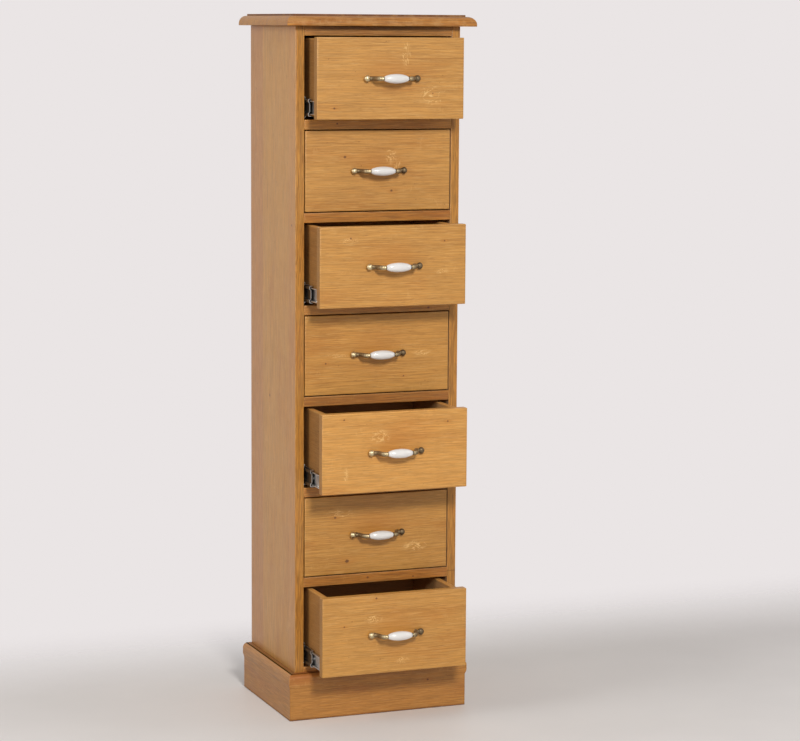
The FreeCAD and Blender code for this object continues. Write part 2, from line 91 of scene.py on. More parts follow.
# a link where value is another node's output, else a plain setting
def feed(tree, socket, value):
    if isinstance(value, bpy.types.NodeSocket):
        tree.links.new(value, socket)
    elif value is not None:
        socket.default_value = value


def calc(tree, operation, first, second=None, third=None):
    node = addNode(tree, "ShaderNodeMath", operation=operation)
    for socket, value in zip(node.inputs, (first, second, third)):
        feed(tree, socket, value)
    return node.outputs[0]


def plus(tree, first, second):
    return calc(tree, "ADD", first, second)


def minus(tree, first, second):
    return calc(tree, "SUBTRACT", first, second)


def times(tree, first, second):
    return calc(tree, "MULTIPLY", first, second)


def vectorCalc(tree, operation, first, second=None, factor=None):
    node = addNode(tree, "ShaderNodeVectorMath", operation=operation)
    feed(tree, node.inputs[0], first)
    feed(tree, node.inputs[1], second)
    if factor is not None:
        feed(tree, node.inputs["Scale"], factor)
    return node.outputs["Value"] if operation == "LENGTH" else node.outputs["Vector"]


def axesOf(tree, vector):
    node = addNode(tree, "ShaderNodeSeparateXYZ")
    feed(tree, node.inputs[0], vector)
    return node.outputs


def vectorOf(tree, x=None, y=None, z=None):
    node = addNode(tree, "ShaderNodeCombineXYZ")
    for socket, value in zip(node.inputs, (x, y, z)):
        feed(tree, socket, value)
    return node.outputs[0]


def objectSpot(tree):
    return addNode(tree, "ShaderNodeTexCoord").outputs["Object"]


def attributeOf(tree, name, output="Vector"):
    return addNode(tree, "ShaderNodeAttribute", attribute_name=name).outputs[output]


def noiseOf(tree, vector, scale, detail=2.0, roughness=0.5, distortion=0.0):
    node = addNode(tree, "ShaderNodeTexNoise")
    feed(tree, node.inputs["Vector"], vector)
    feed(tree, node.inputs["Scale"], scale)
    feed(tree, node.inputs["Detail"], detail)
    feed(tree, node.inputs["Roughness"], roughness)
    feed(tree, node.inputs["Distortion"], distortion)
    return node.outputs["Fac"]


# noise with its own scale along each axis, in cycles per metre
def stretchedNoise(tree, vector, scales, detail, roughness=0.5, distortion=0.0):
    return noiseOf(tree, vectorCalc(tree, "MULTIPLY", vector, scales), 1.0, detail, roughness, distortion)


def spread(tree, value, low, high, toLow=0.0, toHigh=1.0, smooth=False):
    kind = "SMOOTHSTEP" if smooth else "LINEAR"
    node = addNode(tree, "ShaderNodeMapRange", interpolation_type=kind, clamp=True)
    names = ("Value", "From Min", "From Max", "To Min", "To Max")
    for name, setting in zip(names, (value, low, high, toLow, toHigh)):
        feed(tree, node.inputs[name], setting)
    return node.outputs["Result"]


# 1 up to low, 0 from high
def fadeOut(tree, value, low, high):
    return spread(tree, value, low, high, 1.0, 0.0, smooth=True)


def mixColour(tree, factor, under, over, mode="MIX"):
    node = addNode(tree, "ShaderNodeMix", data_type="RGBA", blend_type=mode)
    feed(tree, node.inputs[0], factor)
    feed(tree, node.inputs[6], under)
    feed(tree, node.inputs[7], over)
    return node.outputs[2]


def opaque(colour):
    return (*colour, 1.0)


# lays paint over colour where the mask is 1, at no more than the given share
def tinted(tree, colour, mask, paint, share=None, mode="MIX"):
    amount = mask if share is None else times(tree, mask, share)
    return mixColour(tree, amount, colour, opaque(paint), mode)


# strength from 0 to 1, depth in metres
def addBump(tree, shader, height, strength, depth):
    bump = addNode(tree, "ShaderNodeBump")
    bump.inputs["Strength"].default_value = strength
    bump.inputs["Distance"].default_value = depth
    feed(tree, bump.inputs["Height"], height)
    feed(tree, shader.inputs["Normal"], bump.outputs[0])


def mixShaders(tree, share, first, second):
    both = addNode(tree, "ShaderNodeMixShader")
    feed(tree, both.inputs[0], share)
    feed(tree, both.inputs[1], first.outputs[0])
    feed(tree, both.inputs[2], second.outputs[0])
    return both.outputs[0]


def newMaterial(name):
    material = bpy.data.materials.new(name)
    material.use_nodes = True
    tree = material.node_tree
    shader = tree.nodes["Principled BSDF"]
    return material, tree, shader


# an input that starts at None is a vector, any other a number; outputs are numbers
def newShaderGroup(name, inputs, outputs):
    tree = bpy.data.node_groups.new(name, "ShaderNodeTree")
    for label, start in inputs.items():
        kind = "NodeSocketVector" if start is None else "NodeSocketFloat"
        socket = tree.interface.new_socket(label, in_out="INPUT", socket_type=kind)
        if start is not None:
            socket.default_value = start
    for label in outputs:
        tree.interface.new_socket(label, in_out="OUTPUT", socket_type="NodeSocketFloat")
    return tree, tree.nodes.new("NodeGroupInput").outputs, tree.nodes.new("NodeGroupOutput").inputs


# puts a shader group into a tree; names such as ringWidth feed the input Ring Width
def placeGroup(tree, group, **values):
    node = addNode(tree, "ShaderNodeGroup", node_tree=group)
    for name, value in values.items():
        label = "".join(" " + letter if letter.isupper() else letter for letter in name).title()
        feed(tree, node.inputs[label], value)
    return node.outputs


stageLook = {
    "floorColour": (0.745, 0.715, 0.69),
    "farColour": (0.93, 0.895, 0.885),
    "backgroundColour": (0.823, 0.783, 0.783),
    "floorRadius": 5.0,
    "floorSides": 96,
    "floorCentre": (0, -0.15, -0.0003),  # just under the chest
    "mottle": (0.97, 1.03),
    "roughness": 0.55,
    "specular": 0.25,
    "brighten": (0.5, 1.9),  # metres from the chest where the floor begins and ends to brighten
    "backFade": (0.0, 0.7),  # metres behind its back where the floor melts into the background
    "roundFade": (1.6, 3.2),  # and all round
    "ambient": 0.33,
    "ambientColour": (1.0, 0.985, 0.975),
}

lamps = {  # places in metres, spread in degrees, power in watts
    "keyLamp": {
        "place": (-0.69, -4.90, 3.09), "aim": (0, -0.3, 0.40), "size": 0.9,
        "spread": 92, "power": 46, "colour": (1.0, 0.975, 0.95),
    },
    "leftFill": {
        "place": (-3.27, -0.89, 2.25), "aim": (0, -0.2, 1.0), "size": 1.8,
        "spread": 180, "power": 40, "colour": (0.95, 0.965, 0.98),
    },
    "rightFill": {
        "place": (3.15, -2.02, 2.90), "aim": (0, -0.3, 0.75), "size": 1.8,
        "spread": 180, "power": 14, "colour": (1.0, 1.0, 1.0),
    },
}


def makeFloor(look):
    bm = bmesh.new()
    bmesh.ops.create_circle(bm, cap_ends=True, radius=look["floorRadius"], segments=look["floorSides"])
    bmesh.ops.translate(bm, verts=bm.verts, vec=look["floorCentre"])
    mesh = bpy.data.meshes.new("floor")
    bm.to_mesh(mesh)
    bm.free()
    material, tree, shader = newMaterial("paleFloor")
    place = objectSpot(tree)
    away = vectorCalc(tree, "LENGTH", place)
    far = spread(tree, away, *look["brighten"], smooth=True)
    shade = mixColour(tree, far, opaque(look["floorColour"]), opaque(look["farColour"]))
    mottle = spread(tree, noiseOf(tree, place, 2.5, 3), 0.3, 0.7, *look["mottle"])
    feed(tree, shader.inputs["Base Color"], vectorCalc(tree, "SCALE", shade, factor=mottle))
    shader.inputs["Roughness"].default_value = look["roughness"]
    shader.inputs["Specular IOR Level"].default_value = look["specular"]
    behind = spread(tree, axesOf(tree, place)[1], *look["backFade"], smooth=True)
    fade = calc(tree, "MAXIMUM", behind, spread(tree, away, *look["roundFade"], smooth=True))
    clear = addNode(tree, "ShaderNodeBsdfTransparent")
    both = mixShaders(tree, fade, shader, clear)
    feed(tree, tree.nodes["Material Output"].inputs["Surface"], both)
    mesh.materials.append(material)
    linkObject("floor", mesh)


# the camera and mirrors see the pale background, and all else gets an even soft light
def makeWorld(look):
    world = bpy.data.worlds.new("paleRoom")
    scene.world = world
    world.use_nodes = True
    tree = world.node_tree
    tree.nodes.clear()
    seen = addNode(tree, "ShaderNodeBackground")
    seen.inputs["Color"].default_value = opaque(look["backgroundColour"])
    light = addNode(tree, "ShaderNodeBackground")
    light.inputs["Color"].default_value = opaque(look["ambientColour"])
    light.inputs["Strength"].default_value = look["ambient"]
    ray = addNode(tree, "ShaderNodeLightPath").outputs
    direct = calc(tree, "MAXIMUM", ray["Is Camera Ray"], ray["Is Glossy Ray"])
    direct = calc(tree, "MAXIMUM", direct, ray["Is Transmission Ray"])
    end = addNode(tree, "ShaderNodeOutputWorld")
    feed(tree, end.inputs["Surface"], mixShaders(tree, direct, light, seen))


def makeLamps(settings):
    for name, lamp in settings.items():
        place = Vector(lamp["place"])
        outward = (place - Vector(lamp["aim"])).normalized()
        data = bpy.data.lights.new(name, "AREA")
        data.shape = "DISK"
        data.size = lamp["size"]
        data.spread = math.radians(lamp["spread"])
        data.energy = lamp["power"]
        data.color = lamp["colour"]
        turned = outward.to_track_quat("Z", "Y").to_matrix().to_4x4()
        linkObject(name, data).matrix_world = Matrix.Translation(place) @ turned


placeCamera(viewPoint)
makeFloor(stageLook)
makeWorld(stageLook)
makeLamps(lamps)
scene.view_settings.view_transform = "Standard"

print("semainier: shader groups")

knotShape = {  # in knot radii
    "squash": 0.8,  # a knot is this much shorter along the grain
    "raggedness": 0.9,
    "core": (0.55, 1.15),  # where its dark wood begins to fade and ends
    "haloStretch": (0.3, 0.75),
    "halo": (0.7, 2.4),
}


# one small round knot, from a vector in knot radii to it: x along the grain, y across it, and
# z is the knot's radius
def makeKnotGroup(shape):
    tree, source, result = newShaderGroup("smallKnot", {"To Knot": None}, ("Core", "Halo", "Pull"))
    along, across, radius = axesOf(tree, source["To Knot"])
    flat = vectorOf(tree, times(tree, along, shape["squash"]), across)
    ragged = times(tree, minus(tree, noiseOf(tree, flat, 1.3, 2), 0.5), shape["raggedness"])
    away = plus(tree, vectorCalc(tree, "LENGTH", flat), ragged)
    feed(tree, result["Core"], fadeOut(tree, away, *shape["core"]))
    long, tall = shape["haloStretch"]
    wide = vectorCalc(tree, "LENGTH", vectorOf(tree, times(tree, along, long), times(tree, across, tall)))
    feed(tree, result["Halo"], fadeOut(tree, plus(tree, wide, ragged), *shape["halo"]))
    near = plus(tree, calc(tree, "POWER", wide, 2.0), 1.0)
    feed(tree, result["Pull"], calc(tree, "DIVIDE", times(tree, across, radius), near))
    return tree


featherShape = {  # in figure sizes
    "fade": (0.35, 1.0),
    "curls": 1.6,
    "twist": 1.3,
    "line": (0.018, 0.060),  # half width of one pale line
    "barbs": (2.0, 7.0, 1.0),
    "barbTwist": 0.8,
    "barbFrom": (0.38, 0.52),
    "faintest": 0.25,
}


# pale feathered figure beside a knot, from a vector in figure sizes to its middle
def makeFeatherGroup(shape):
    tree, source, result = newShaderGroup("featherFigure", {"To Middle": None}, ("Feather",))
    middle = source["To Middle"]
    away = vectorCalc(tree, "LENGTH", vectorCalc(tree, "MULTIPLY", middle, (1, 1, 0)))
    curls = noiseOf(tree, middle, shape["curls"], 1, 0.5, shape["twist"])
    thin = fadeOut(tree, calc(tree, "ABSOLUTE", minus(tree, curls, 0.5)), *shape["line"])
    barbs = stretchedNoise(tree, middle, shape["barbs"], 2, 0.5, shape["barbTwist"])
    lines = times(tree, thin, spread(tree, barbs, *shape["barbFrom"], shape["faintest"], 1.0))
    feed(tree, result["Feather"], times(tree, fadeOut(tree, away, *shape["fade"]), lines))
    return tree


grainShape = {  # scales are along, across and into the board, in cycles per metre
    "sway": ((2.6, 13, 13), 0.022),  # scales, and how far the rings bend, in metres
    "ripple": ((17, 60, 60), 0.0045),
    "taper": 0.006,  # the log's, per metre of board
    "yearPace": 0.31,
    "yearSwing": 3.0,  # good and bad years shift the rings by up to this many
    "lateFrom": (0.25, 0.86),
    "lateUntil": (0.90, 1.0),
    "dashes": ((17, 760, 760), (0.38, 0.62)),  # scales, and the noise where they begin and are full
    "brushed": ((26, 640, 640), (0.55, 0.68)),
    "pores": ((64, 760, 760), (0.58, 0.70)),
    "clouds": (5, 16, 16),
    "figurePatches": ((13, 24, 24), (0.60, 0.72)),
    "figureMarks": ((150, 62, 62), (0.54, 0.66)),
    "pinsPerMetre": 15.0,
    "pinShare": 0.45,  # of the cells stay without one
    "pinSize": 0.030,
}


# sawn softwood in the board's own space, in metres: x along the grain, y across, z into it
def makeGrainGroup(shape):
    tree, source, result = newShaderGroup(
        "sawnGrain",
        {"Place": None, "Pull": 0.0, "Ring Width": 0.004, "Waviness": 1.0},
        ("Late", "Dashes", "Brushed", "Pores", "Clouds", "Figure", "Pins"),
    )
    place = source["Place"]
    bends = []
    for name in ("sway", "ripple"):
        scales, reach = shape[name]
        bends.append(times(tree, minus(tree, stretchedNoise(tree, place, scales, 2), 0.5), reach))
    bend = times(tree, plus(tree, *bends), source["Waviness"])
    along, across, into = axesOf(tree, place)
    across = minus(tree, plus(tree, across, bend), source["Pull"])
    heart = vectorCalc(tree, "LENGTH", vectorOf(tree, across, into))
    turns = calc(tree, "DIVIDE", plus(tree, heart, times(tree, along, shape["taper"])), source["Ring Width"])
    year = addNode(tree, "ShaderNodeTexNoise", noise_dimensions="1D")
    feed(tree, year.inputs["W"], times(tree, turns, shape["yearPace"]))
    turns = plus(tree, turns, times(tree, year.outputs["Fac"], shape["yearSwing"]))
    share = calc(tree, "FRACT", turns)
    rise = spread(tree, share, *shape["lateFrom"], smooth=True)
    feed(tree, result["Late"], times(tree, rise, fadeOut(tree, share, *shape["lateUntil"])))

    bent = vectorOf(tree, along, across, into)  # fibres follow the rings' sway
    for name, smooth in (("dashes", False), ("brushed", True), ("pores", True)):
        scales, ends = shape[name]
        fibres = stretchedNoise(tree, bent, scales, 1)
        feed(tree, result[name.title()], spread(tree, fibres, *ends, smooth=smooth))
    feed(tree, result["Clouds"], stretchedNoise(tree, place, shape["clouds"], 3, 0.55))
    scales, ends = shape["figurePatches"]
    where = spread(tree, stretchedNoise(tree, place, scales, 1), *ends, smooth=True)
    scales, ends = shape["figureMarks"]
    marks = spread(tree, stretchedNoise(tree, place, scales, 2, 0.5, 1.2), *ends, smooth=True)
    feed(tree, result["Figure"], times(tree, where, marks))
    cells = addNode(tree, "ShaderNodeTexVoronoi", voronoi_dimensions="2D")  # tiny knots, one to a cell
    feed(tree, cells.inputs["Vector"], place)
    cells.inputs["Scale"].default_value = shape["pinsPerMetre"]
    chance = addNode(tree, "ShaderNodeSeparateColor")
    feed(tree, chance.inputs[0], cells.outputs["Color"])
    luck, least = chance.outputs[0], shape["pinShare"]
    size = spread(tree, luck, least, 1.0, 0.0, shape["pinSize"])
    near = spread(tree, cells.outputs["Distance"], times(tree, size, 0.5), size, 1.0, 0.0)
    feed(tree, result["Pins"], times(tree, near, spread(tree, luck, least, least + 0.01)))
    return tree


wearShape = {  # scales in cycles per metre
    "patches": 45.0,
    "nicks": 320.0,
    "nickShare": 0.25,
    "from": (0.35, 0.65),  # the noise where an arris begins to be rubbed and is rubbed most
    "least": 0.35,  # rubbing that every arris has
}


# rubbed arrises: the edge attribute broken up by noise, so that the wear comes and goes
def makeWearGroup(shape):
    tree, source, result = newShaderGroup("edgeWear", {"Edge": 0.0, "Place": None, "Reach": 0.5}, ("Wear",))
    patches = noiseOf(tree, source["Place"], shape["patches"], 3, 0.6)
    nicks = noiseOf(tree, source["Place"], shape["nicks"], 2)
    share = shape["nickShare"]
    amount = plus(tree, times(tree, patches, 1.0 - share), times(tree, nicks, share))
    rubbed = spread(tree, amount, *shape["from"], shape["least"], 1.0, smooth=True)
    edge = times(tree, source["Edge"], rubbed)
    feed(tree, result["Wear"], spread(tree, edge, minus(tree, 1.0, source["Reach"]), 1.0, smooth=True))
    return tree


dustShape = {
    "fineness": 14.0,  # of the specks against the mottle
    "specks": (0.66, 0.76),
}


# fine dust and handling marks: a slow mottle with a few small specks
def makeDustGroup(shape):
    inputs = {"Place": None, "Scale": 30.0}
    tree, source, result = newShaderGroup("dustAndMarks", inputs, ("Mottle", "Specks"))
    feed(tree, result["Mottle"], noiseOf(tree, source["Place"], source["Scale"], 4, 0.6))
    fine = noiseOf(tree, source["Place"], times(tree, source["Scale"], shape["fineness"]), 2)
    feed(tree, result["Specks"], spread(tree, fine, *shape["specks"], smooth=True))
    return tree


knotGroup = makeKnotGroup(knotShape)
featherGroup = makeFeatherGroup(featherShape)
grainGroup = makeGrainGroup(grainShape)
wearGroup = makeWearGroup(wearShape)
dustGroup = makeDustGroup(dustShape)

print("semainier: materials")

honeyStain = {
    "early": (0.568, 0.280, 0.065),
    "late": (0.400, 0.168, 0.030),
    "flame": (0.44, 0.160, 0.022),  # where the stain soaked in
    "pore": (0.190, 0.075, 0.018),
    "knot": (0.105, 0.036, 0.012),
    "figure": (0.70, 0.42, 0.15),
    "worn": (0.60, 0.34, 0.125),
    "rosy": (0.49, 0.205, 0.070),
    "amber": (0.79, 0.735, 0.46),  # the redder front edges, and painted shade on the plinth's rounding, as a share of the stain
    "dim": (0.41, 0.325, 0.25),  # end grain, and painted shade in nooks, on the top board's step, at the side boards' feet and in the drawer boxes, as a share too
    "dull": (0.47, 0.30, 0.165),  # inner surfaces that were never polished
    "roughness": 0.42,
    "ringWidth": 0.0044,
    "waviness": 0.4,
    "contrast": 0.68,
    "dashes": 0.16,
    "amberDashes": 0.0,  # more of them on the redder edges
    "brushed": 0.30,  # pale fibres that the wire brush left
    "pores": 0.26,
    "darkPatch": 0.42,  # how much darker and redder the wood is made round its dark patch: above each handle, and as painted shade at the plinth's upper left end
    "staves": 0.0,  # width of edge-glued strips, 0 for a solid board
    "staveSeed": 6,
    "staveJump": (3.0, 0.05, 0.05),
    "flames": 0.40,  # from here on the most that each mark covers
    "figures": 0.18,
    "pins": 0.55,
    "feathers": 0.95,
    "halos": 0.30,
    "cores": 0.82,
    "wear": 0.26,
    "wearReach": 0.45,
    "endRoughness": 0.22,  # more of it where the wood is dim, as on end grain
    "dust": 26.0,  # scale of the dust and marks, in cycles per metre
    "ior": 1.47,
    "bump": (0.35, 0.00025),  # strength, and depth in metres
}
boardAttributes = ("arris", "tone", "amber", "dim", "dull")


# stained spruce. Own boards carry their grain as attributes; a solid kept from the frame
# uses Object coordinates, moved by shift
def makeWood(name, stain, shift=None, knots=True):
    material, tree, shader = newMaterial(name)
    own = shift is None
    if own:
        space = attributeOf(tree, "grainSpace")
        edge, tone, amber, dim, dull = (attributeOf(tree, label, "Fac") for label in boardAttributes)
    else:
        tone = 0.5
        space = vectorCalc(tree, "ADD", objectSpot(tree), shift)
    if stain["staves"]:  # each strip is from another plank
        strip = calc(tree, "FLOOR", calc(tree, "DIVIDE", axesOf(tree, space)[1], stain["staves"]))
        dice = addNode(tree, "ShaderNodeTexWhiteNoise", noise_dimensions="1D")
        feed(tree, dice.inputs["W"], plus(tree, strip, stain["staveSeed"]))
        jump = vectorCalc(tree, "MULTIPLY", dice.outputs["Color"], stain["staveJump"])
        space = vectorCalc(tree, "ADD", space, jump)
        tone = plus(tree, times(tree, tone, 0.5), times(tree, dice.outputs["Value"], 0.5))
    pull = 0.0
    if knots:
        toKnots = [attributeOf(tree, label) for label in ("toKnotA", "toKnotB")]
        first, other = (placeGroup(tree, knotGroup, toKnot=toKnot) for toKnot in toKnots)
        pull = plus(tree, first["Pull"], other["Pull"])
        cores = calc(tree, "MAXIMUM", first["Core"], other["Core"])
        halos = calc(tree, "MAXIMUM", first["Halo"], other["Halo"])
    width, waviness = stain["ringWidth"], stain["waviness"]
    grain = placeGroup(tree, grainGroup, place=space, pull=pull, ringWidth=width, waviness=waviness)
    strength = times(tree, grain["Late"], spread(tree, grain["Clouds"], 0.35, 0.65, 0.45, 1.0))
    colour = tinted(tree, opaque(stain["early"]), strength, stain["late"], stain["contrast"])
    soaked = spread(tree, grain["Clouds"], 0.52, 0.74, 0.0, stain["flames"], smooth=True)
    colour = tinted(tree, colour, soaked, stain["flame"])
    if stain["staves"]:
        tints = addNode(tree, "ShaderNodeSeparateColor")
        feed(tree, tints.inputs[0], dice.outputs["Color"])
        colour = tinted(tree, colour, spread(tree, tints.outputs[1], 0.2, 0.8, 0.0, 0.6), stain["rosy"])
    if own:
        colour = tinted(tree, colour, dull, stain["dull"])
    dashes = spread(tree, grain["Dashes"], 0.0, 1.0, -stain["dashes"], 0.6 * stain["dashes"])
    if stain["amberDashes"]:
        dashes = times(tree, dashes, calc(tree, "MULTIPLY_ADD", amber, stain["amberDashes"], 1.0))
    shade = times(tree, plus(tree, dashes, 1.0), spread(tree, tone, 0.0, 1.0, 0.90, 1.10))
    colour = vectorCalc(tree, "SCALE", colour, factor=shade)
    marks = (
        ("Brushed", "figure", "brushed"), ("Pores", "pore", "pores"),
        ("Figure", "figure", "figures"), ("Pins", "pore", "pins"),
    )
    for mask, paint, share in marks:
        colour = tinted(tree, colour, grain[mask], stain[paint], stain[share])
    if own:
        colour = tinted(tree, colour, amber, stain["amber"], mode="MULTIPLY")
        # dim: darker end grain, and painted shade where a board is marked for it
        colour = tinted(tree, colour, dim, stain["dim"], mode="MULTIPLY")
    if knots:
        # a darker, redder patch round a marked place: above each handle, and painted shade at the plinth's
        # upper left end
        away = vectorCalc(tree, "LENGTH", attributeOf(tree, "toDarkPatch"))
        darkPatch = spread(tree, away, 0.15, 1.0, stain["darkPatch"], 0.0, smooth=True)
        darkPatch = times(tree, darkPatch, spread(tree, grain["Clouds"], 0.3, 0.7, 0.6, 1.0))
        colour = tinted(tree, colour, darkPatch, stain["flame"])
        for label in ("toFeatherA", "toFeatherB"):
            feather = placeGroup(tree, featherGroup, toMiddle=attributeOf(tree, label))["Feather"]
            colour = tinted(tree, colour, feather, stain["figure"], stain["feathers"])
        colour = tinted(tree, colour, halos, stain["flame"], stain["halos"])
        colour = tinted(tree, colour, cores, stain["knot"], stain["cores"])
    dust = placeGroup(tree, dustGroup, place=space, scale=stain["dust"])
    roughness = plus(tree, times(tree, dust["Mottle"], 0.14), stain["roughness"] - 0.07)
    roughness = plus(tree, roughness, times(tree, grain["Late"], -0.05))
    if own:
        wear = placeGroup(tree, wearGroup, edge=edge, place=space, reach=stain["wearReach"])["Wear"]
        colour = tinted(tree, colour, wear, stain["worn"], stain["wear"])
        roughness = plus(tree, roughness, times(tree, wear, 0.08))
        roughness = plus(tree, roughness, spread(tree, dim, 0.15, 0.45, 0.0, stain["endRoughness"]))
    feed(tree, shader.inputs["Base Color"], colour)
    feed(tree, shader.inputs["Roughness"], roughness)
    shader.inputs["IOR"].default_value = stain["ior"]
    height = plus(tree, times(tree, grain["Late"], 0.5), times(tree, grain["Dashes"], 0.5))
    height = minus(tree, height, times(tree, grain["Brushed"], 0.25))
    addBump(tree, shader, height, *stain["bump"])
    return material


plywoodLook = {
    "early": (0.50, 0.315, 0.155),
    "late": (0.385, 0.205, 0.085),
    "speck": (0.28, 0.16, 0.07),
    "warp": (3.4, 3.4, 0.75),  # scales in cycles per metre
    "ragged": (70, 70, 5),
    "fibres": (420, 420, 9),
    "bands": 7.0,  # flames to the metre, and by how many the warp shifts them
    "bandShift": 26.0,
    "dust": 14.0,
    "roughness": (0.62, 0.78),
    "bump": (0.3, 0.0003),
}


# thin plywood: upright rotary-cut veneer with flames in its grain, matt and a little washed out
def makePlywood(name, look):
    material, tree, shader = newMaterial(name)
    place = objectSpot(tree)
    warp = stretchedNoise(tree, place, look["warp"], 2)
    ragged = stretchedNoise(tree, place, look["ragged"], 2)
    bands = times(tree, axesOf(tree, place)[0], look["bands"])
    bands = plus(tree, bands, times(tree, warp, look["bandShift"]))
    share = calc(tree, "FRACT", plus(tree, bands, times(tree, ragged, 0.25)))
    late = times(tree, spread(tree, share, 0.15, 0.84, smooth=True), fadeOut(tree, share, 0.88, 1.0))
    fibres = stretchedNoise(tree, place, look["fibres"], 3, 0.6)
    colour = tinted(tree, opaque(look["early"]), late, look["late"], 0.8)
    colour = vectorCalc(tree, "SCALE", colour, factor=spread(tree, fibres, 0.3, 0.7, 0.88, 1.1))
    marks = placeGroup(tree, dustGroup, place=place, scale=look["dust"])
    feed(tree, shader.inputs["Base Color"], tinted(tree, colour, marks["Specks"], look["speck"], 0.35))
    feed(tree, shader.inputs["Roughness"], spread(tree, marks["Mottle"], 0.3, 0.7, *look["roughness"]))
    addBump(tree, shader, fibres, *look["bump"])
    return material


brassLook = {
    "patina": ((0.155, 0.112, 0.062), (0.27, 0.20, 0.115)),
    "rubbed": (0.55, 0.455, 0.27),
    "soot": (0.095, 0.070, 0.042),
    "speck": (0.06, 0.042, 0.024),
    "roughness": 0.52,
    "polish": 0.12,  # taken off it where the brass is rubbed
    "dust": 160.0,
    "scratches": (140, 900, 900),
    "bump": (0.22, 0.00012),
}


# dark brown patina in the hollows, bright rubbed brass where fingers reach, soot where the burnish is low,
# and painted shade on the right-hand ball and arm
def makeAntiqueBrass(name, look):
    material, tree, shader = newMaterial(name)
    place = objectSpot(tree)
    marks = placeGroup(tree, dustGroup, place=place, scale=look["dust"])
    uneven = times(tree, minus(tree, marks["Mottle"], 0.5), 0.55)
    edge = plus(tree, attributeOf(tree, "burnish", "Fac"), uneven)
    rubbed = spread(tree, edge, 0.22, 0.85, smooth=True)
    dark, light = look["patina"]
    colour = tinted(tree, opaque(dark), marks["Mottle"], light)
    colour = tinted(tree, colour, rubbed, look["rubbed"])
    # soot in the hollows, and painted shade on the right-hand ball and arm
    colour = tinted(tree, colour, spread(tree, edge, -0.5, 0.1, 0.85, 0.0), look["soot"])
    feed(tree, shader.inputs["Base Color"], tinted(tree, colour, marks["Specks"], look["speck"], 0.5))
    shader.inputs["Metallic"].default_value = 1.0
    rough = minus(tree, look["roughness"], times(tree, rubbed, look["polish"]))
    feed(tree, shader.inputs["Roughness"], plus(tree, rough, times(tree, marks["Specks"], 0.12)))
    scratches = stretchedNoise(tree, place, look["scratches"], 2)
    addBump(tree, shader, plus(tree, marks["Mottle"], times(tree, scratches, 0.5)), *look["bump"])
    return material


porcelainLook = {
    "glaze": ((0.66, 0.645, 0.625), (0.73, 0.71, 0.685)),
    "speck": (0.60, 0.56, 0.50),
    "roughness": (0.10, 0.20),
    "ior": 1.52,
    "coat": 0.35,
    "coatRoughness": 0.05,
    "depth": 0.06,  # how much light goes into it, and how far, in metres
    "depthRadius": (0.003, 0.0026, 0.0022),
    "dust": 60.0,
    "bump": (0.06, 0.0002),
}


# white glaze, a touch warmer in places, with the faint unevenness of a fired surface
def makePorcelain(name, look):
    material, tree, shader = newMaterial(name)
    marks = placeGroup(tree, dustGroup, place=objectSpot(tree), scale=look["dust"])
    dark, light = look["glaze"]
    colour = tinted(tree, opaque(dark), marks["Mottle"], light)
    feed(tree, shader.inputs["Base Color"], tinted(tree, colour, marks["Specks"], look["speck"], 0.10))
    feed(tree, shader.inputs["Roughness"], spread(tree, marks["Mottle"], 0.3, 0.7, *look["roughness"]))
    shader.inputs["IOR"].default_value = look["ior"]
    shader.inputs["Coat Weight"].default_value = look["coat"]
    shader.inputs["Coat Roughness"].default_value = look["coatRoughness"]
    shader.inputs["Subsurface Weight"].default_value = look["depth"]
    shader.inputs["Subsurface Radius"].default_value = look["depthRadius"]
    addBump(tree, shader, marks["Mottle"], *look["bump"])
    return material


zincLook = {
    "colour": (0.45, 0.44, 0.425),
    "bloom": 0.80,  # the cloudy places, as a share of the colour
    "speck": (0.30, 0.29, 0.27),
    "webShade": None,  # a colour for painted shade between the bright lips
    "stretch": (600, 9, 600),  # of the streaks, in cycles per metre
    "roughness": 0.26,
    "streaky": 0.20,  # added to it on the streaks
    "dust": 55.0,
    "bump": (0.15, 0.0001),
}


# bright zinc plate on rolled sheet: faint streaks along the runner and a cloudy bloom
def makeZinc(name, look):
    material, tree, shader = newMaterial(name)
    place = objectSpot(tree)
    streaks = stretchedNoise(tree, place, look["stretch"], 3, 0.55)
    marks = placeGroup(tree, dustGroup, place=place, scale=look["dust"])
    cloudy = tuple(look["bloom"] * part for part in look["colour"])
    colour = tinted(tree, opaque(cloudy), marks["Mottle"], look["colour"])
    colour = tinted(tree, colour, marks["Specks"], look["speck"], 0.3)
    # painted shade on the webs, kept off the bright lips and ends
    if look["webShade"]:
        uneven = times(tree, minus(tree, marks["Mottle"], 0.5), 0.8)
        lip = plus(tree, attributeOf(tree, "lip", "Fac"), uneven)
        colour = mixColour(tree, spread(tree, lip, 0.1, 0.9, smooth=True), opaque(look["webShade"]), colour)
    feed(tree, shader.inputs["Base Color"], colour)
    shader.inputs["Metallic"].default_value = 1.0
    roughness = plus(tree, look["roughness"], times(tree, streaks, look["streaky"]))
    feed(tree, shader.inputs["Roughness"], roughness)
    addBump(tree, shader, streaks, *look["bump"])
    return material


nylonLook = {
    "plain": ((0.012, 0.012, 0.013), (0.03, 0.03, 0.032)),
    "scuff": (0.10, 0.10, 0.10),
    "roughness": (0.42, 0.58),
    "dust": 90.0,
    "texture": 2600.0,  # of the spark-eroded mould, in cycles per metre
    "bump": (0.2, 0.0001),
}


# moulded black nylon with a fine spark-eroded texture and grey scuffs
def makeBlackPlastic(name, look):
    material, tree, shader = newMaterial(name)
    place = objectSpot(tree)
    marks = placeGroup(tree, dustGroup, place=place, scale=look["dust"])
    dark, light = look["plain"]
    colour = tinted(tree, opaque(dark), marks["Mottle"], light)
    feed(tree, shader.inputs["Base Color"], tinted(tree, colour, marks["Specks"], look["scuff"], 0.4))
    feed(tree, shader.inputs["Roughness"], spread(tree, marks["Mottle"], 0.3, 0.7, *look["roughness"]))
    addBump(tree, shader, noiseOf(tree, place, look["texture"], 1), *look["bump"])
    return material


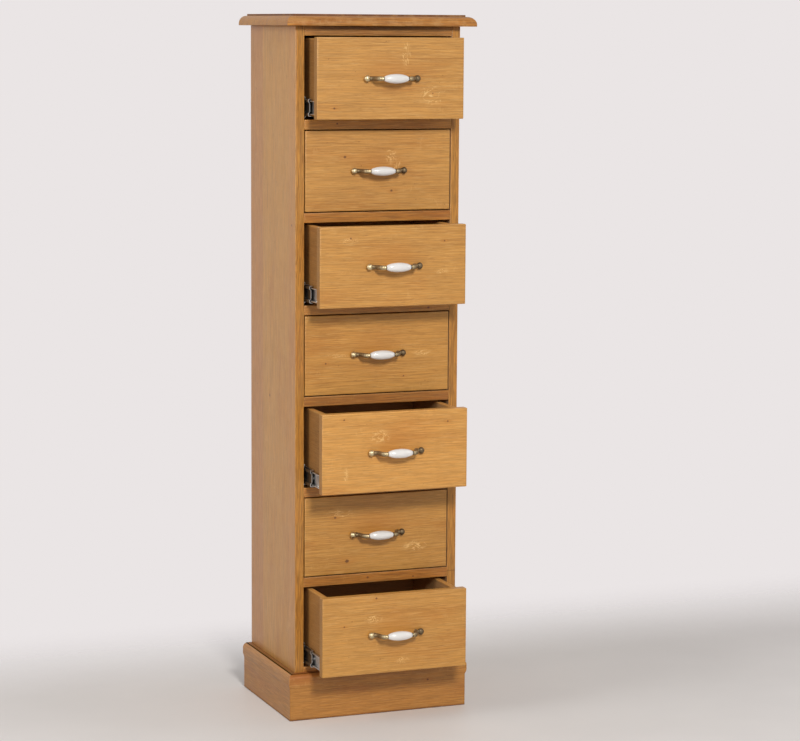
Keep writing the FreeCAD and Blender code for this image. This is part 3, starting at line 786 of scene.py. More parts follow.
frontSpruce = makeWood("frontSpruce", honeyStain)
sideSpruce = makeWood("sideSpruce", dict(
    honeyStain, ringWidth=0.0070, waviness=1.0, contrast=0.50, dashes=0.15, amberDashes=1.2, staves=0.089,
))
railSpruce = makeWood("railSpruce", dict(
    honeyStain, contrast=0.8, dashes=0.29,
    early=(0.495, 0.218, 0.042), late=(0.37, 0.137, 0.023), amber=(0.86, 0.78, 0.60),
))
plinthSpruce = makeWood("plinthSpruce", dict(
    honeyStain, contrast=0.7, dashes=0.20, brushed=0.16, pores=0.36, darkPatch=0.9,
    early=(0.43, 0.188, 0.037), late=(0.31, 0.115, 0.021), flame=(0.36, 0.110, 0.018),
))
boxSpruce = makeWood("boxSpruce", dict(honeyStain, roughness=0.52, contrast=0.3, dashes=0.10), knots=False)
hiddenSpruce = makeWood(
    "hiddenSpruce", dict(honeyStain, roughness=0.60), shift=(0.3, 0.02, 0.05), knots=False
)
backPlywood = makePlywood("backPlywood", plywoodLook)
antiqueBrass = makeAntiqueBrass("antiqueBrass", brassLook)
whitePorcelain = makePorcelain("whitePorcelain", porcelainLook)
zincPlate = makeZinc("zincPlate", zincLook)
runnerZinc = makeZinc("runnerZinc", dict(zincLook, colour=(0.72, 0.71, 0.68), webShade=(0.085, 0.085, 0.08)))
ballSteel = makeZinc("ballSteel", dict(zincLook, colour=(0.62, 0.62, 0.63), stretch=(80, 80, 80)))
blackNylon = makeBlackPlastic("blackNylon", nylonLook)

print("semainier: boards")

boardSpaces = ("grainSpace", "toKnotA", "toKnotB", "toFeatherA", "toFeatherB", "toDarkPatch")
sawnFrom = {  # metres; where in its log a board lay
    "along": (0, 4),
    "besideHeart": (0.13, 0.20),
    "aboveHeart": (0.02, 0.06),
}


def pointAt(angle):
    return Vector((math.cos(angle), math.sin(angle)))


# rounds the corners (across, up, radius) of an outline; a point's last value is 1 on the
# roundings and 0 where it stands rim further into a long flat
def softenOutline(corners, steps, closed=True, rim=0.0):
    count = len(corners)
    points = []
    for index, (across, up, radius) in enumerate(corners):
        starts = not closed and index == 0
        ends = not closed and index == count - 1
        here = Vector((across, up))
        back = Vector(corners[index - 1][:2]) - here
        ahead = Vector(corners[(index + 1) % count][:2]) - here
        arc, run = [here], 0.0
        if radius and not (starts or ends):
            half = back.angle(ahead) / 2
            run = radius / math.tan(half)
            middle = here + (back.normalized() + ahead.normalized()).normalized() * (radius / math.sin(half))
            first, last = (here + way.normalized() * run - middle for way in (back, ahead))
            start = math.atan2(first.y, first.x)
            sweep = (math.atan2(last.y, last.x) - start + math.pi) % (2 * math.pi) - math.pi
            arc = [middle + pointAt(start + sweep * step / steps) * radius for step in range(steps + 1)]
        if rim and not starts and back.length > 2 * (run + rim):
            points.append((*(here + back.normalized() * (run + rim)), 0.0))
        points += [(*spot, 1.0) for spot in arc]
        if rim and not ends and ahead.length > 2 * (run + rim):
            points.append((*(here + ahead.normalized() * (run + rim)), 0.0))
    return points


# skin from ring to ring, all with the same number of points
def joinRings(bm, rings):
    for near, far in zip(rings, rings[1:]):
        for step in range(len(near)):
            after = (step + 1) % len(near)
            bm.faces.new((near[step], near[after], far[after], far[step]))


# the same with both ends closed
def closeTube(bm, rings):
    joinRings(bm, rings)
    bm.faces.new(rings[0])
    bm.faces.new(rings[-1])


# box between two corners, its edges rounded
def addBlock(bm, low, high, rounding=0.0, segments=3):
    placed = Matrix.Translation((low + high) / 2) @ Matrix.Diagonal((*(high - low), 1.0))
    made = bmesh.ops.create_cube(bm, size=1.0, matrix=placed)
    if rounding:
        edges = list({edge for vert in made["verts"] for edge in vert.link_edges})
        bmesh.ops.bevel(
            bm, geom=edges, offset=rounding, segments=segments, profile=0.5,
            affect="EDGES", clamp_overlap=True,
        )


def startWood():
    bm = bmesh.new()
    for name in boardSpaces:
        bm.verts.layers.float_vector.new(name)
    for name in boardAttributes:
        bm.verts.layers.float.new(name)
    return bm


# writes the board's own space onto its points; order names the world axes along, across and
# into the grain. Knots are (along, across, radius) from the middle of the board and feathers
# (along, across, half length, half height), all in mm
def markGrain(bm, verts, order, seed, knots=(), tone=None, feathers=()):
    spots = [vert.co for vert in verts]
    centre = (Vector(map(min, zip(*spots))) + Vector(map(max, zip(*spots)))) / 2
    dice = random.Random(seed)
    shift = Vector((
        dice.uniform(*sawnFrom["along"]),
        dice.choice((-1, 1)) * dice.uniform(*sawnFrom["besideHeart"]),
        dice.uniform(*sawnFrom["aboveHeart"]),
    ))
    shade = dice.random() if tone is None else tone
    axes = ["xyz".index(axis) for axis in order]
    floats, vectors = bm.verts.layers.float, bm.verts.layers.float_vector
    for vert in verts:
        local = Vector([(vert.co - centre)[axis] for axis in axes])
        for name in boardSpaces[1:]:
            vert[vectors[name]] = (99.0, 99.0, 0.0)  # far from every mark
        vert[vectors["grainSpace"]] = local + shift
        vert[floats["tone"]] = shade
        for name, knot in zip(("toKnotA", "toKnotB"), knots):
            along, across, radius = (part * mm for part in knot)
            vert[vectors[name]] = ((local.x - along) / radius, (local.y - across) / radius, radius)
        for slot, (name, feather) in enumerate(zip(("toFeatherA", "toFeatherB"), feathers)):
            along, across, long, tall = (part * mm for part in feather)
            vert[vectors[name]] = ((local.x - along) / long, (local.y - across) / tall, shift.x * 5 + slot)


# square-edged board between two corners, with eased arrises; rounding and rim in mm
def addBoard(bm, low, high, order, seed, rounding=1.0, rim=3.0, **marks):
    known = set(bm.faces)
    low, high = Vector(low), Vector(high)
    addBlock(bm, low, high, rounding * mm)
    faces = [face for face in bm.faces if face not in known]
    flats = [face for face in faces if min(edge.calc_length() for edge in face.edges) > 2.2 * rounding * mm]
    smallest = min(high - low) - 2 * rounding * mm
    bmesh.ops.inset_individual(bm, faces=flats, thickness=min(rim * mm, smallest * 0.3), depth=0)
    inner = {vert for face in flats for vert in face.verts}
    verts = {vert for face in bm.faces if face not in known for vert in face.verts}
    edge = bm.verts.layers.float["arris"]
    for vert in verts:
        vert[edge] = 0.0 if vert in inner else 1.0
    markGrain(bm, verts, order, seed, **marks)


# closed outline drawn out into a bar; atStart and atEnd turn (across, up) into places, so
# its ends may be mitred. Its end arrises are rim mm wide
def addBar(bm, outline, atStart, atEnd, order, seed, rim=2.5, **marks):
    edge = bm.verts.layers.float["arris"]
    rings = [[], [], [], []]
    for across, up, rounded in outline:
        start, end = Vector(atStart(across, up)), Vector(atEnd(across, up))
        inset = (end - start).normalized() * rim * mm
        spots = (start, start + inset, end - inset, end)
        for ring, spot, worn in zip(rings, spots, (1.0, rounded, rounded, 1.0)):
            ring.append(bm.verts.new(spot))
            ring[-1][edge] = worn
    closeTube(bm, rings)
    markGrain(bm, sum(rings, []), order, seed, **marks)


# darkens the wood around a place on its front; size is half its width and height, in mm
def markDarkPatch(bm, x, z, size):
    hand = bm.verts.layers.float_vector["toDarkPatch"]
    wide, tall = (part * mm for part in size)
    for vert in bm.verts:
        vert[hand] = ((vert.co.x - x) / wide, (vert.co.z - z) / tall, 0.0)


# sets some of the wood's own values, such as amber or dim, wherever the test holds
def shadeWhere(bm, shades, test):
    for layer, amount in shades.items():
        values = bm.verts.layers.float[layer]
        for vert in bm.verts:
            if test(vert.co):
                vert[values] = amount


# turns the working mesh into an object that stands at the origin
def meshPiece(bm, name, material, sharp):
    mesh = bpy.data.meshes.new(name)
    bm.to_mesh(mesh)
    bm.free()
    mesh.shade_smooth()
    mesh.set_sharp_from_angle(angle=math.radians(sharp))
    mesh.materials.append(material)
    return linkObject(name, mesh)


def makePiece(bm, name, material, sharp=35):
    bmesh.ops.recalc_face_normals(bm, faces=bm.faces)  # outwards
    return meshPiece(bm, name, material, sharp)


def handOver(piece, body, slot, *nodes):
    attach(piece, body)
    if nodes:
        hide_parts(*nodes)


# the evaluated piece as a plain object; the working one is removed with its modifiers
def applied(piece, name):
    graph = bpy.context.evaluated_depsgraph_get()
    mesh = bpy.data.meshes.new_from_object(piece.evaluated_get(graph))
    mesh.name = name
    bpy.data.objects.remove(piece)
    return linkObject(name, mesh)


# cuts the tool out of the working piece and removes both
def cutOut(work, tool, name):
    material = work.data.materials[0]
    cut = work.modifiers.new(name, "BOOLEAN")
    cut.operation = "DIFFERENCE"
    cut.object = tool
    cut.solver = "EXACT"
    piece = applied(work, name)
    bpy.data.objects.remove(tool)
    piece.data.materials.clear()
    piece.data.materials.append(material)
    return piece


carcaseParts = {  # mm, and shares of the stain's amber, dim and dull colours
    "easing": 1.0,  # front edges of sides and rails
    "sideSeeds": {"left": "side board 47", "right": "side board 9"},
    "sideKnots": ((330, -128, 2.6), (-60, 20, 3.2)),
    "sideTone": 0.5,
    "rebateReach": (60, 5),  # how far its cutter reaches inwards, and past the back and the top
    "shadedFoot": (5, 0.16),  # height and dim of painted shade at the side boards' lower ends, fading out up the side
    "railKnots": {
        "dividerRail_1": ((-95, 2, 2.2),),
        "dividerRail_3": ((120, -3, 2.4),),
        "dividerRail_5": ((40, 0, 2.0),),
        "dividerRail_6": ((-20, 1, 2.6), (88, -4, 2.0)),
    },
    "railStain": {  # amber and dim of their front edges
        "topRail": (0.25, 0.0),
        "dividerRail_1": (0.5, 0.0),
        "dividerRail_2": (1.0, 0.15),
        "dividerRail_3": (0.35, 0.0),
        "dividerRail_4": (1.0, 0.35),
        "dividerRail_5": (1.0, 0.0),
        "dividerRail_6": (1.0, 0.24),
        "baseBoard": (1.0, 0.0),
    },
    "railInside": 0.8,  # dull
    "backInset": 0.3,  # the plywood lies this much behind the side boards' rear edges
}

topEdge = {  # mm
    "overhang": 28,
    "step": 4,
    "round": 17,
    "ledge": 2.5,
    "easing": 0.9,
    "crease": 0.4,
    "flat": 6,  # of the outline, at the underside and on the table
    "arcStep": 9,  # degrees
    "knots": ((60, -120, 3.0), (-140, 60, 2.6)),
    "tone": 0.30,
}


def makeTopBoard(sizes):
    low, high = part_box("top_board")
    over, step, turn, ledge = (sizes[name] * mm for name in ("overhang", "step", "round", "ledge"))
    ease, crease, flat = (sizes[name] * mm for name in ("easing", "crease", "flat"))
    tall = high.z - low.z
    table = over - turn - ledge  # how far the raised table stands past the carcase
    outline = [(over - flat, 0.0, 0.0), (over, 0.0, ease), (over, tall - step - turn, crease)]
    for angle in range(sizes["arcStep"], 90, sizes["arcStep"]):
        out, up = math.cos(math.radians(angle)), math.sin(math.radians(angle))
        outline.append((table + ledge + turn * out, tall - step - turn + turn * up, 0.0))
    outline += [(table + ledge, tall - step, crease), (table, tall - step, crease)]
    outline += [(table, tall, ease), (table - flat, tall, 0.0)]
    halfWide, deep = high.x - over, -low.y - over
    bm = startWood()
    edge = bm.verts.layers.float["arris"]
    loops = []
    for out, up, rounded in softenOutline(outline, steps=3, closed=False):
        left, right, front = -halfWide - out, halfWide + out, -deep - out
        corners = ((left, 0), (left, front), (right, front), (right, 0))
        loop = [bm.verts.new((x, y, low.z + up)) for x, y in corners]
        for vert in loop:
            vert[edge] = rounded
        loops.append(loop)
    closeTube(bm, loops)
    markGrain(bm, list(bm.verts), "xyz", "top board", knots=sizes["knots"], tone=sizes["tone"])
    shadeWhere(bm, {"amber": 1.0}, lambda spot: spot.y < -deep)
    ledgeTop = high.z - step - 0.1 * mm

    def besideTable(spot):
        return spot.z > ledgeTop and max(-spot.y - deep, abs(spot.x) - halfWide) > table - 2 * ease

    # painted shade on the step and ledge beside the raised table
    shadeWhere(bm, {"dim": 1.0}, besideTable)
    handOver(makePiece(bm, "topBoard", railSpruce), "carcase", "spruce_across", "top_board")


def makeSideBoards(sizes):
    backLow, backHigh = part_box("back_panel")
    inward, reach = (part * mm for part in sizes["rebateReach"])
    foot, footDim = sizes["shadedFoot"]
    for name, seed in sizes["sideSeeds"].items():
        low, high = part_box(f"side_{name}")
        bm = startWood()
        addBoard(
            bm, low, high, "zyx", seed, rounding=sizes["easing"],
            knots=sizes["sideKnots"], tone=sizes["sideTone"],
        )
        inside = min(abs(low.x), abs(high.x))
        # painted shade: the side boards darker towards the floor
        shadeWhere(bm, {"dim": footDim}, lambda spot: spot.z < low.z + foot * mm)
        shadeWhere(bm, {"amber": 1.0}, lambda spot: spot.y < low.y + 0.3 * mm)
        shadeWhere(bm, {"dull": 1.0}, lambda spot: abs(spot.x) < inside + 0.1 * mm)
        board = makePiece(bm, f"sideWork_{name}", sideSpruce)
        cutter = bmesh.new()
        left, right = (backLow.x, low.x + inward) if name == "left" else (high.x - inward, backHigh.x)
        addBlock(cutter, Vector((left, backLow.y, backLow.z)), Vector((right, reach, backHigh.z + reach)))
        piece = cutOut(board, makePiece(cutter, "rebateCutter", sideSpruce), f"sideBoard_{name}")
        handOver(piece, "carcase", "spruce_upright", f"side_{name}")


def makeRails(sizes):
    rails = [(f"dividerRail_{number}", f"divider_rail_{number}", f"rail {number}") for number in range(1, 7)]
    rails += [("topRail", "top_rail", "topRail"), ("baseBoard", "base_board", "baseBoard")]
    for name, node, seed in rails:
        low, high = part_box(node)
        bm = startWood()
        knots = sizes["railKnots"].get(name, ())
        addBoard(bm, low, high, "xzy", seed, rounding=sizes["easing"], knots=knots)
        amber, dim = sizes["railStain"][name]
        shadeWhere(bm, {"amber": amber, "dim": dim}, lambda spot: spot.y < low.y + 0.3 * mm)
        shadeWhere(bm, {"dull": sizes["railInside"]}, lambda spot: spot.y > low.y + 3 * mm)
        handOver(makePiece(bm, name, railSpruce), "carcase", "spruce_across", node)


plinthParts = {  # mm, and shares as above
    "thickness": 18,
    "nose": 3,
    "noseHeight": 33,
    "slope": 9,
    "round": 11,
    "easing": 0.8,
    "nook": 7.5,  # painted shade in the angle above the mouldings, this far out from the carcase
    "nookShades": {"front": 0.9, "side": 0.75},
    "knots": ((118, 14, 2.4),),
    "tones": {"front": 0.4, "side": 0.3},
    "softWear": 0.15,  # of the arrises that the carcase shelters
    "stained": (11.5, 0.9),  # painted shade on the rounding: height of the band made darker and redder, and its amber, also on the mitres
    "shadedTop": (5, 0.5),  # height and dim of painted shade along the top
    "shadedEnd": (80, 34),  # width and height of painted shade at the upper left end
}


def makePlinth(sizes):
    low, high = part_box("plinth_front")
    out, nose, tall, slope = (sizes[name] * mm for name in ("thickness", "nose", "noseHeight", "slope"))
    turn, ease, nook = (sizes[name] * mm for name in ("round", "easing", "nook"))
    top = high.z
    halfWide, deep = high.x - out - nose, -high.y  # the carcase that the mouldings are set against
    corners = [
        (0.0, 0.0, 0.0),
        (out, 0.0, 1.5 * ease),
        (out, top - tall, 0.0),
        (out + nose, top - tall + slope, 2 * ease),
        (out + nose, top, turn),
        (nook + 2 * mm, top, 0.0),
        (nook, top, 0.0),
        (ease, top, 0.0),
        (0.0, top - ease, 0.0),
    ]
    outline = []
    for across, up, rounded in softenOutline(corners, steps=7, rim=4 * mm):
        sheltered = across < out + nose - ease and up > top - 2 * tall / 3
        outline.append((across, up, rounded * (sizes["softWear"] if sheltered else 1.0)))
    bm = startWood()
    addBar(
        bm, outline,
        lambda across, up: (-halfWide - across, -deep - across, up),
        lambda across, up: (halfWide + across, -deep - across, up),
        "xzy", "plinth front", knots=sizes["knots"], tone=sizes["tones"]["front"],
    )
    # painted shade: a darker, redder band on the rounding and the mitres, and a dimmer top
    height, amber = sizes["stained"]
    shadeWhere(bm, {"amber": amber}, lambda spot: spot.z > top - height * mm)
    shadeWhere(bm, {"amber": amber}, lambda spot: abs(abs(spot.x) - halfWide + spot.y + deep) < 0.5 * mm)
    height, dim = sizes["shadedTop"]
    shadeWhere(bm, {"dim": dim}, lambda spot: spot.z > top - height * mm)
    # painted shade at the upper left end
    markDarkPatch(bm, -halfWide, top, sizes["shadedEnd"])
    # painted shade in the nook above the moulding and along the floor
    dim = sizes["nookShades"]["front"]
    shadeWhere(bm, {"dim": dim}, lambda spot: spot.y > -deep - nook - 0.05 * mm or spot.z < 2 * ease)
    handOver(makePiece(bm, "plinthFront", plinthSpruce), "carcase", "spruce_across", "plinth_front")
    dim = sizes["nookShades"]["side"]
    for name, side in (("left", -1), ("right", 1)):
        bm = startWood()
        addBar(
            bm, outline,
            lambda across, up: (side * (halfWide + across), -deep - across, up),
            lambda across, up: (side * (halfWide + across), 0.0, up),
            "yzx", f"plinth {name}", tone=sizes["tones"]["side"],
        )
        # painted shade in the nook above the moulding and along the floor
        inside = halfWide + nook + 0.05 * mm
        shadeWhere(bm, {"dim": dim}, lambda spot: abs(spot.x) < inside or spot.z < 2 * ease)
        piece = makePiece(bm, f"plinthSide_{name}", plinthSpruce)
        handOver(piece, "carcase", "spruce_deep", f"plinth_{name}")


def makeBackPanel(sizes):
    low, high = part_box("back_panel")
    high.y -= sizes["backInset"] * mm
    bm = startWood()
    addBoard(bm, low, high, "zxy", "back panel", rounding=0.3, rim=1.0)
    handOver(makePiece(bm, "backPanel", backPlywood), "carcase", "back_board", "back_panel")


# solids whose shape is right already get their finish only
def dressHiddenBoards():
    for node in ("plinth_back", "corner_blocks"):
        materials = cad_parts[node].data.materials
        materials.clear()
        materials.append(hiddenSpruce)


makeTopBoard(topEdge)
makeSideBoards(carcaseParts)
makeRails(carcaseParts)
makePlinth(plinthParts)
makeBackPanel(carcaseParts)
dressHiddenBoards()

print("semainier: drawers")

drawerParts = {  # mm, and shares as above
    "side": 12,  # thickness of the box's sides and back
    "bottom": 4,
    "bottomRise": 16,  # underside above the front's lower edge
    "groove": 6,
    "slack": 0.2,  # of the bottom in its grooves
    "frontEasing": 1.5,
    "boxEasing": 1.2,
    "bottomEasing": 0.3,
    "knots": {  # along and up from the middle of the front, and the radius
        1: ((-129, -63, 2.2), (96, -32, 1.4)),
        2: ((-77, 30, 3.0), (31, -44, 2.6)),
        3: ((-98, 62, 2.0), (118, 52, 1.8)),
        4: ((-120, -18, 2.0), (62, -52, 1.7)),
        5: ((122, 60, 1.9), (-118, 74, 2.0)),
        6: ((-69, -59, 4.2), (-97, 40, 2.6)),
        7: ((-118, 22, 1.8), (-44, 80, 2.2)),
    },
    "feathers": {  # along and up, then half length and half height
        1: ((34, 52, 13, 36), (96, -36, 40, 26)),
        2: ((30, 32, 16, 24), (44, 4, 14, 26)),
        3: ((-98, 56, 30, 9), (112, -14, 20, 8)),
        4: ((106, -2, 30, 9), (-96, -2, 34, 6)),
        5: ((-114, -46, 8, 20), (-36, 34, 28, 20)),
        6: ((-84, 48, 40, 12), (92, -34, 36, 16)),
        7: ((-50, 34, 26, 12), (16, -62, 22, 9)),
    },
    "darkPatchSize": (95, 55),  # half width and half height of the darker patch
    "darkPatchRise": 14,  # its middle above the handle
    "tones": {1: 0.05, 2: 0.16, 3: 0.08, 4: 0.38, 5: 0.62, 6: 0.10, 7: 0.16},
    "redness": {1: 0.0, 2: 0.08, 3: 0.10, 4: 0.36, 5: 0.0, 6: 0.36, 7: 0.15},
    "endGrain": {"dim": 0.36, "amber": 0.5},  # of the fronts
    # the dim on the outer and inner faces of the box is painted shade; boxRim darkens the sides' upper edges
    "boxOutside": {"dim": 0.72},
    "boxInside": {"dull": 0.45, "dim": 0.40},
    "boxRim": {"dim": 0.3},
    "backOutside": {"dull": 0.7},
    "backInside": {"dull": 0.6, "dim": 0.2},
}


def makeDrawerFront(number, parts):
    low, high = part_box(f"drawer_{number}_front")
    middle = (low + high) / 2
    bm = startWood()
    addBoard(
        bm, low, high, "xzy", f"front {number}", rounding=parts["frontEasing"], rim=3.5,
        knots=parts["knots"][number], tone=parts["tones"][number], feathers=parts["feathers"][number],
    )
    shadeWhere(bm, {"amber": parts["redness"][number]}, lambda spot: True)
    shadeWhere(bm, {"dull": 1.0}, lambda spot: spot.y > high.y - 0.3 * mm)
    shadeWhere(bm, parts["endGrain"], lambda spot: abs(spot.x) > high.x - 0.1 * mm)
    markDarkPatch(bm, middle.x, middle.z + parts["darkPatchRise"] * mm, parts["darkPatchSize"])
    piece = makePiece(bm, f"drawerFront_{number}", frontSpruce)
    handOver(piece, f"drawer_{number}", "spruce_across", f"drawer_{number}_front")


def makeDrawerBox(number, parts):
    low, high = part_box(f"drawer_{number}_box")
    frontLow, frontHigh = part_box(f"drawer_{number}_front")
    front = frontHigh.y
    side, bottom, groove, slack = (parts[name] * mm for name in ("side", "bottom", "groove", "slack"))
    rise = frontLow.z + parts["bottomRise"] * mm
    ease = parts["boxEasing"] * mm
    outer, inner = high.x, high.x - side
    corners = [
        (0.0, low.z, ease),
        (0.0, high.z, ease),
        (side, high.z, ease),
        (side, rise + bottom, 0.0),
        (side - groove, rise + bottom, 0.0),
        (side - groove, rise, 0.0),
        (side, rise, 0.0),
        (side, low.z, ease),
    ]
    outline = softenOutline(corners, steps=3, rim=2.5 * mm)
    bm = startWood()
    for name, turn in (("left", -1), ("right", 1)):
        addBar(
            bm, outline,
            lambda across, up: (turn * (outer - across), front, up),
            lambda across, up: (turn * (outer - across), high.y, up),
            "yzx", f"box side {name} {number}",
        )
    rim = high.z - 2 * ease
    # painted shade: the box's sides are dimmed outside and inside, their upper edges too
    shadeWhere(bm, parts["boxOutside"], lambda spot: abs(spot.x) > outer - 0.1 * mm)
    shadeWhere(bm, parts["boxInside"], lambda spot: abs(spot.x) < inner + groove + 0.1 * mm and spot.z < rim)
    shadeWhere(bm, parts["boxRim"], lambda spot: spot.z > rim)
    backLow = Vector((-inner, high.y - side, rise + bottom))
    backHigh = Vector((inner, high.y, high.z))
    addBoard(bm, backLow, backHigh, "xzy", f"box back {number}", rounding=parts["boxEasing"])
    between, backFront = inner - 0.1 * mm, high.y - side + 0.1 * mm
    shadeWhere(bm, parts["backOutside"], lambda spot: spot.y > high.y - 0.1 * mm)
    # painted shade: the back's inner face is dimmed
    shadeWhere(bm, parts["backInside"], lambda spot: abs(spot.x) < between and spot.y < backFront)
    piece = makePiece(bm, f"drawerBox_{number}", boxSpruce)
    handOver(piece, f"drawer_{number}", "drawer_wood", f"drawer_{number}_box")
    bm = startWood()
    reach = inner + groove - slack
    addBoard(
        bm, (-reach, front, rise), (reach, high.y, rise + bottom), "xyz", f"bottom {number}",
        rounding=parts["bottomEasing"], rim=1.0,
    )
    shadeWhere(bm, {"dull": 1.0}, lambda spot: True)
    handOver(makePiece(bm, f"drawerBottom_{number}", boxSpruce), f"drawer_{number}", "drawer_wood")


for number in drawers:
    makeDrawerFront(number, drawerParts)
    makeDrawerBox(number, drawerParts)

print("semainier: handles")

handleSizes = {  # mm; along is from the middle of the handle, out is from the drawer front
    "reach": 30.0,
    "sides": 28,
    "footOut": 6.7,
    "bossAlong": 48.0,
    "boss": (  # out, radius and shine of the turned boss under each foot
        (-1.0, 4.6, 0.0), (0.5, 4.6, 0.25), (1.1, 4.0, 0.1), (3.0, 3.8, 0.1), (5.6, 3.6, 0.2),
    ),
    "tipAlong": 57.5,
    "tipRadius": 6.5,
    "tipLong": 1.06,  # the ball is this much longer than it is thick
    "tipFlat": 1.12,  # and this much taller
    "tipShine": 0.85,
    "tipStep": 12,  # degrees
    "neck": ((52.4, 4.3, 0.10), (51.4, 4.4, 0.12), (49.6, 4.7, 0.3)),  # along, radius, shine
    "footRadius": 4.7,
    "armPath": (48.2, 40.6, 42.8, 34.4),  # along: corners of its curve, two at the foot, two at full reach
    "armSpans": 18,
    "armRadius": 4.1,
    "armFlat": 1.25,  # the arm is this much taller than it is thick
    "armShine": (0.20, 0.35),  # at the foot, and what it gains towards the grip
    "tulip": (  # along, radius, shine and flatness, in to the grip
        (33.4, 3.95, 0.70, 1.16), (32.4, 4.2, 0.80, 1.10), (31.2, 4.5, 0.80, 1.04), (30.3, 4.6, 0.7, 1.0),
        (30.0, 4.45, 0.1, 1.0), (29.8, 4.5, 0.1, 1.0), (29.5, 4.9, 0.5, 1.0), (28.8, 4.9, 0.5, 1.0),
        (28.4, 4.55, 0.4, 1.0), (28.4, 2.0, 0.0, 1.0),
    ),
    "rightShade": (0.25, 0.7),  # painted shade: how much darker the right-hand ball is made, and the arm's share of it
}


# rings of a round part: place turns the cosine and sine of each step into a spot
def ringOf(bm, sides, place):
    turns = [2 * math.pi * step / sides for step in range(sides)]
    return [bm.verts.new(place(math.cos(turn), math.sin(turn))) for turn in turns]


# point and direction on a cubic Bezier curve
def curvePoint(corners, share):
    first, second, third, fourth = corners
    rest = 1 - share
    spot = first * rest**3 + second * 3 * rest**2 * share + third * 3 * rest * share**2 + fourth * share**3
    way = (second - first) * rest**2 + (third - second) * 2 * rest * share + (fourth - third) * share**2
    return spot, way.normalized()


# rings along half of the handle, from the ball tip in to the rim: place, direction, radius,
# shine and flatness
def armStations(sizes):
    level, reach = sizes["footOut"], sizes["reach"]
    inward = Vector((-1, 0))
    stations = []
    ball, tipStep = sizes["tipRadius"], sizes["tipStep"]
    waist = sizes["neck"][0][1]
    last = 180 - math.degrees(math.asin(waist / ball))  # where the ball meets the neck
    for angle in [0.5, *range(tipStep, int(last), tipStep), last - tipStep / 2]:
        along = sizes["tipAlong"] + sizes["tipLong"] * ball * math.cos(math.radians(angle))
        radius = ball * math.sin(math.radians(angle))
        stations.append((Vector((along, level)), inward, radius, sizes["tipShine"], sizes["tipFlat"]))
    stations += [(Vector((along, level)), inward, *rest, 1.0) for along, *rest in sizes["neck"]]
    path = [Vector(spot) for spot in zip(sizes["armPath"], (level, level, reach, reach))]
    foot, arm, (shine, gain) = sizes["footRadius"], sizes["armRadius"], sizes["armShine"]
    for step in range(sizes["armSpans"] + 1):
        share = step / sizes["armSpans"]
        radius = foot + (arm - foot) * min(1, share * 4)
        flat = 1 + (sizes["armFlat"] - 1) * min(1, share * 2.5)
        stations.append((*curvePoint(path, share), radius, shine + gain * share * share, flat))
    stations += [(Vector((along, reach)), inward, *rest) for along, *rest in sizes["tulip"]]
    return stations


def bossStations(sizes):
    outward = Vector((0, 1))
    return [(Vector((sizes["bossAlong"], out)), outward, *rest, 1.0) for out, *rest in sizes["boss"]]


# skin over rings, its two ends closed with fans; place turns (along, out, up) into the world
def addRings(bm, stations, sides, place):
    burnish = bm.verts.layers.float["burnish"]
    rings = []
    for spot, way, radius, shine, flat in stations:
        normal = Vector((-way.y, way.x))
        ring = ringOf(bm, sides, lambda out, up: place(*(spot + normal * (radius * out)), radius * flat * up))
        for vert in ring:
            vert[burnish] = shine
        rings.append(ring)
    joinRings(bm, rings)
    for ring, (spot, way, radius, shine, flat) in ((rings[0], stations[0]), (rings[-1], stations[-1])):
        pole = bm.verts.new(place(*spot, 0.0))
        pole[burnish] = shine
        for step in range(sides):
            bm.faces.new((ring[step], ring[(step + 1) % sides], pole))


# one whole handle around the origin: along X, out of the front towards -Y
def makeHandleMetal(sizes):
    bm = bmesh.new()
    burnish = bm.verts.layers.float.new("burnish")
    for side in (-1, 1):
        def place(along, out, up):
            return side * along * mm, -out * mm, up * mm

        for stations in (armStations(sizes), bossStations(sizes)):
            addRings(bm, stations, sizes["sides"], place)
    soot, armShare = sizes["rightShade"]
    waist, rim = sizes["neck"][0][0], sizes["tulip"][-1][0]
    for vert in bm.verts:  # painted shade: the right-hand arm and ball are made darker
        if vert.co.x > waist * mm:
            vert[burnish] = -soot
        elif vert.co.x > rim * mm:
            vert[burnish] -= armShare * soot
    return makePiece(bm, "handleWork", antiqueBrass)


gripSizes = {  # mm
    "half": 28.2,
    "radius": 10.2,
    "taper": 30.5,
    "sides": 40,
    "spans": 18,
    "endPull": 0.985,  # the last rings stand this much further in, so that the rim is round
    "bore": ((27.0, 0.3), (27.0, 2.4), (28.05, 2.7), (28.2, 3.3)),  # along and radius of each end's recess
}


# porcelain olive around the origin, its bore a shallow recess at each end
def makeGrip(sizes, reach):
    bm = bmesh.new()
    bore, half = list(sizes["bore"]), sizes["half"]
    olive = []
    for step in range(sizes["spans"] + 1):
        along = half * math.cos(math.pi * step / sizes["spans"])
        radius = sizes["radius"] * math.sqrt(1 - (along / sizes["taper"]) ** 2)
        atEnd = step in (0, sizes["spans"])
        olive.append((along * sizes["endPull"] if atEnd else along, radius))
    profile = bore + olive + [(-along, radius) for along, radius in reversed(bore)]
    rings = []
    for along, radius in profile:
        rings.append(ringOf(
            bm, sizes["sides"], lambda out, up: (along * mm, (radius * out - reach) * mm, radius * up * mm)
        ))
    closeTube(bm, rings)
    return makePiece(bm, "gripWork", whitePorcelain, sharp=60)


def copyTo(source, name, offset):
    mesh = source.data.copy()
    mesh.name = name
    mesh.transform(Matrix.Translation(offset))
    return linkObject(name, mesh)


handleWork, gripWork = makeHandleMetal(handleSizes), makeGrip(gripSizes, handleSizes["reach"])
for number in drawers:
    low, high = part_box(f"drawer_{number}_front")
    seat = Vector((0.0, low.y, (low.z + high.z) / 2))
    metal = copyTo(handleWork, f"handleMetal_{number}", seat)
    handOver(metal, f"drawer_{number}", "antique_brass", f"drawer_{number}_handle")
    grip = copyTo(gripWork, f"handleGrip_{number}", seat)
    handOver(grip, f"drawer_{number}", "porcelain", f"drawer_{number}_grip")
bpy.data.objects.remove(handleWork)
bpy.data.objects.remove(gripWork)

print("semainier: runners")

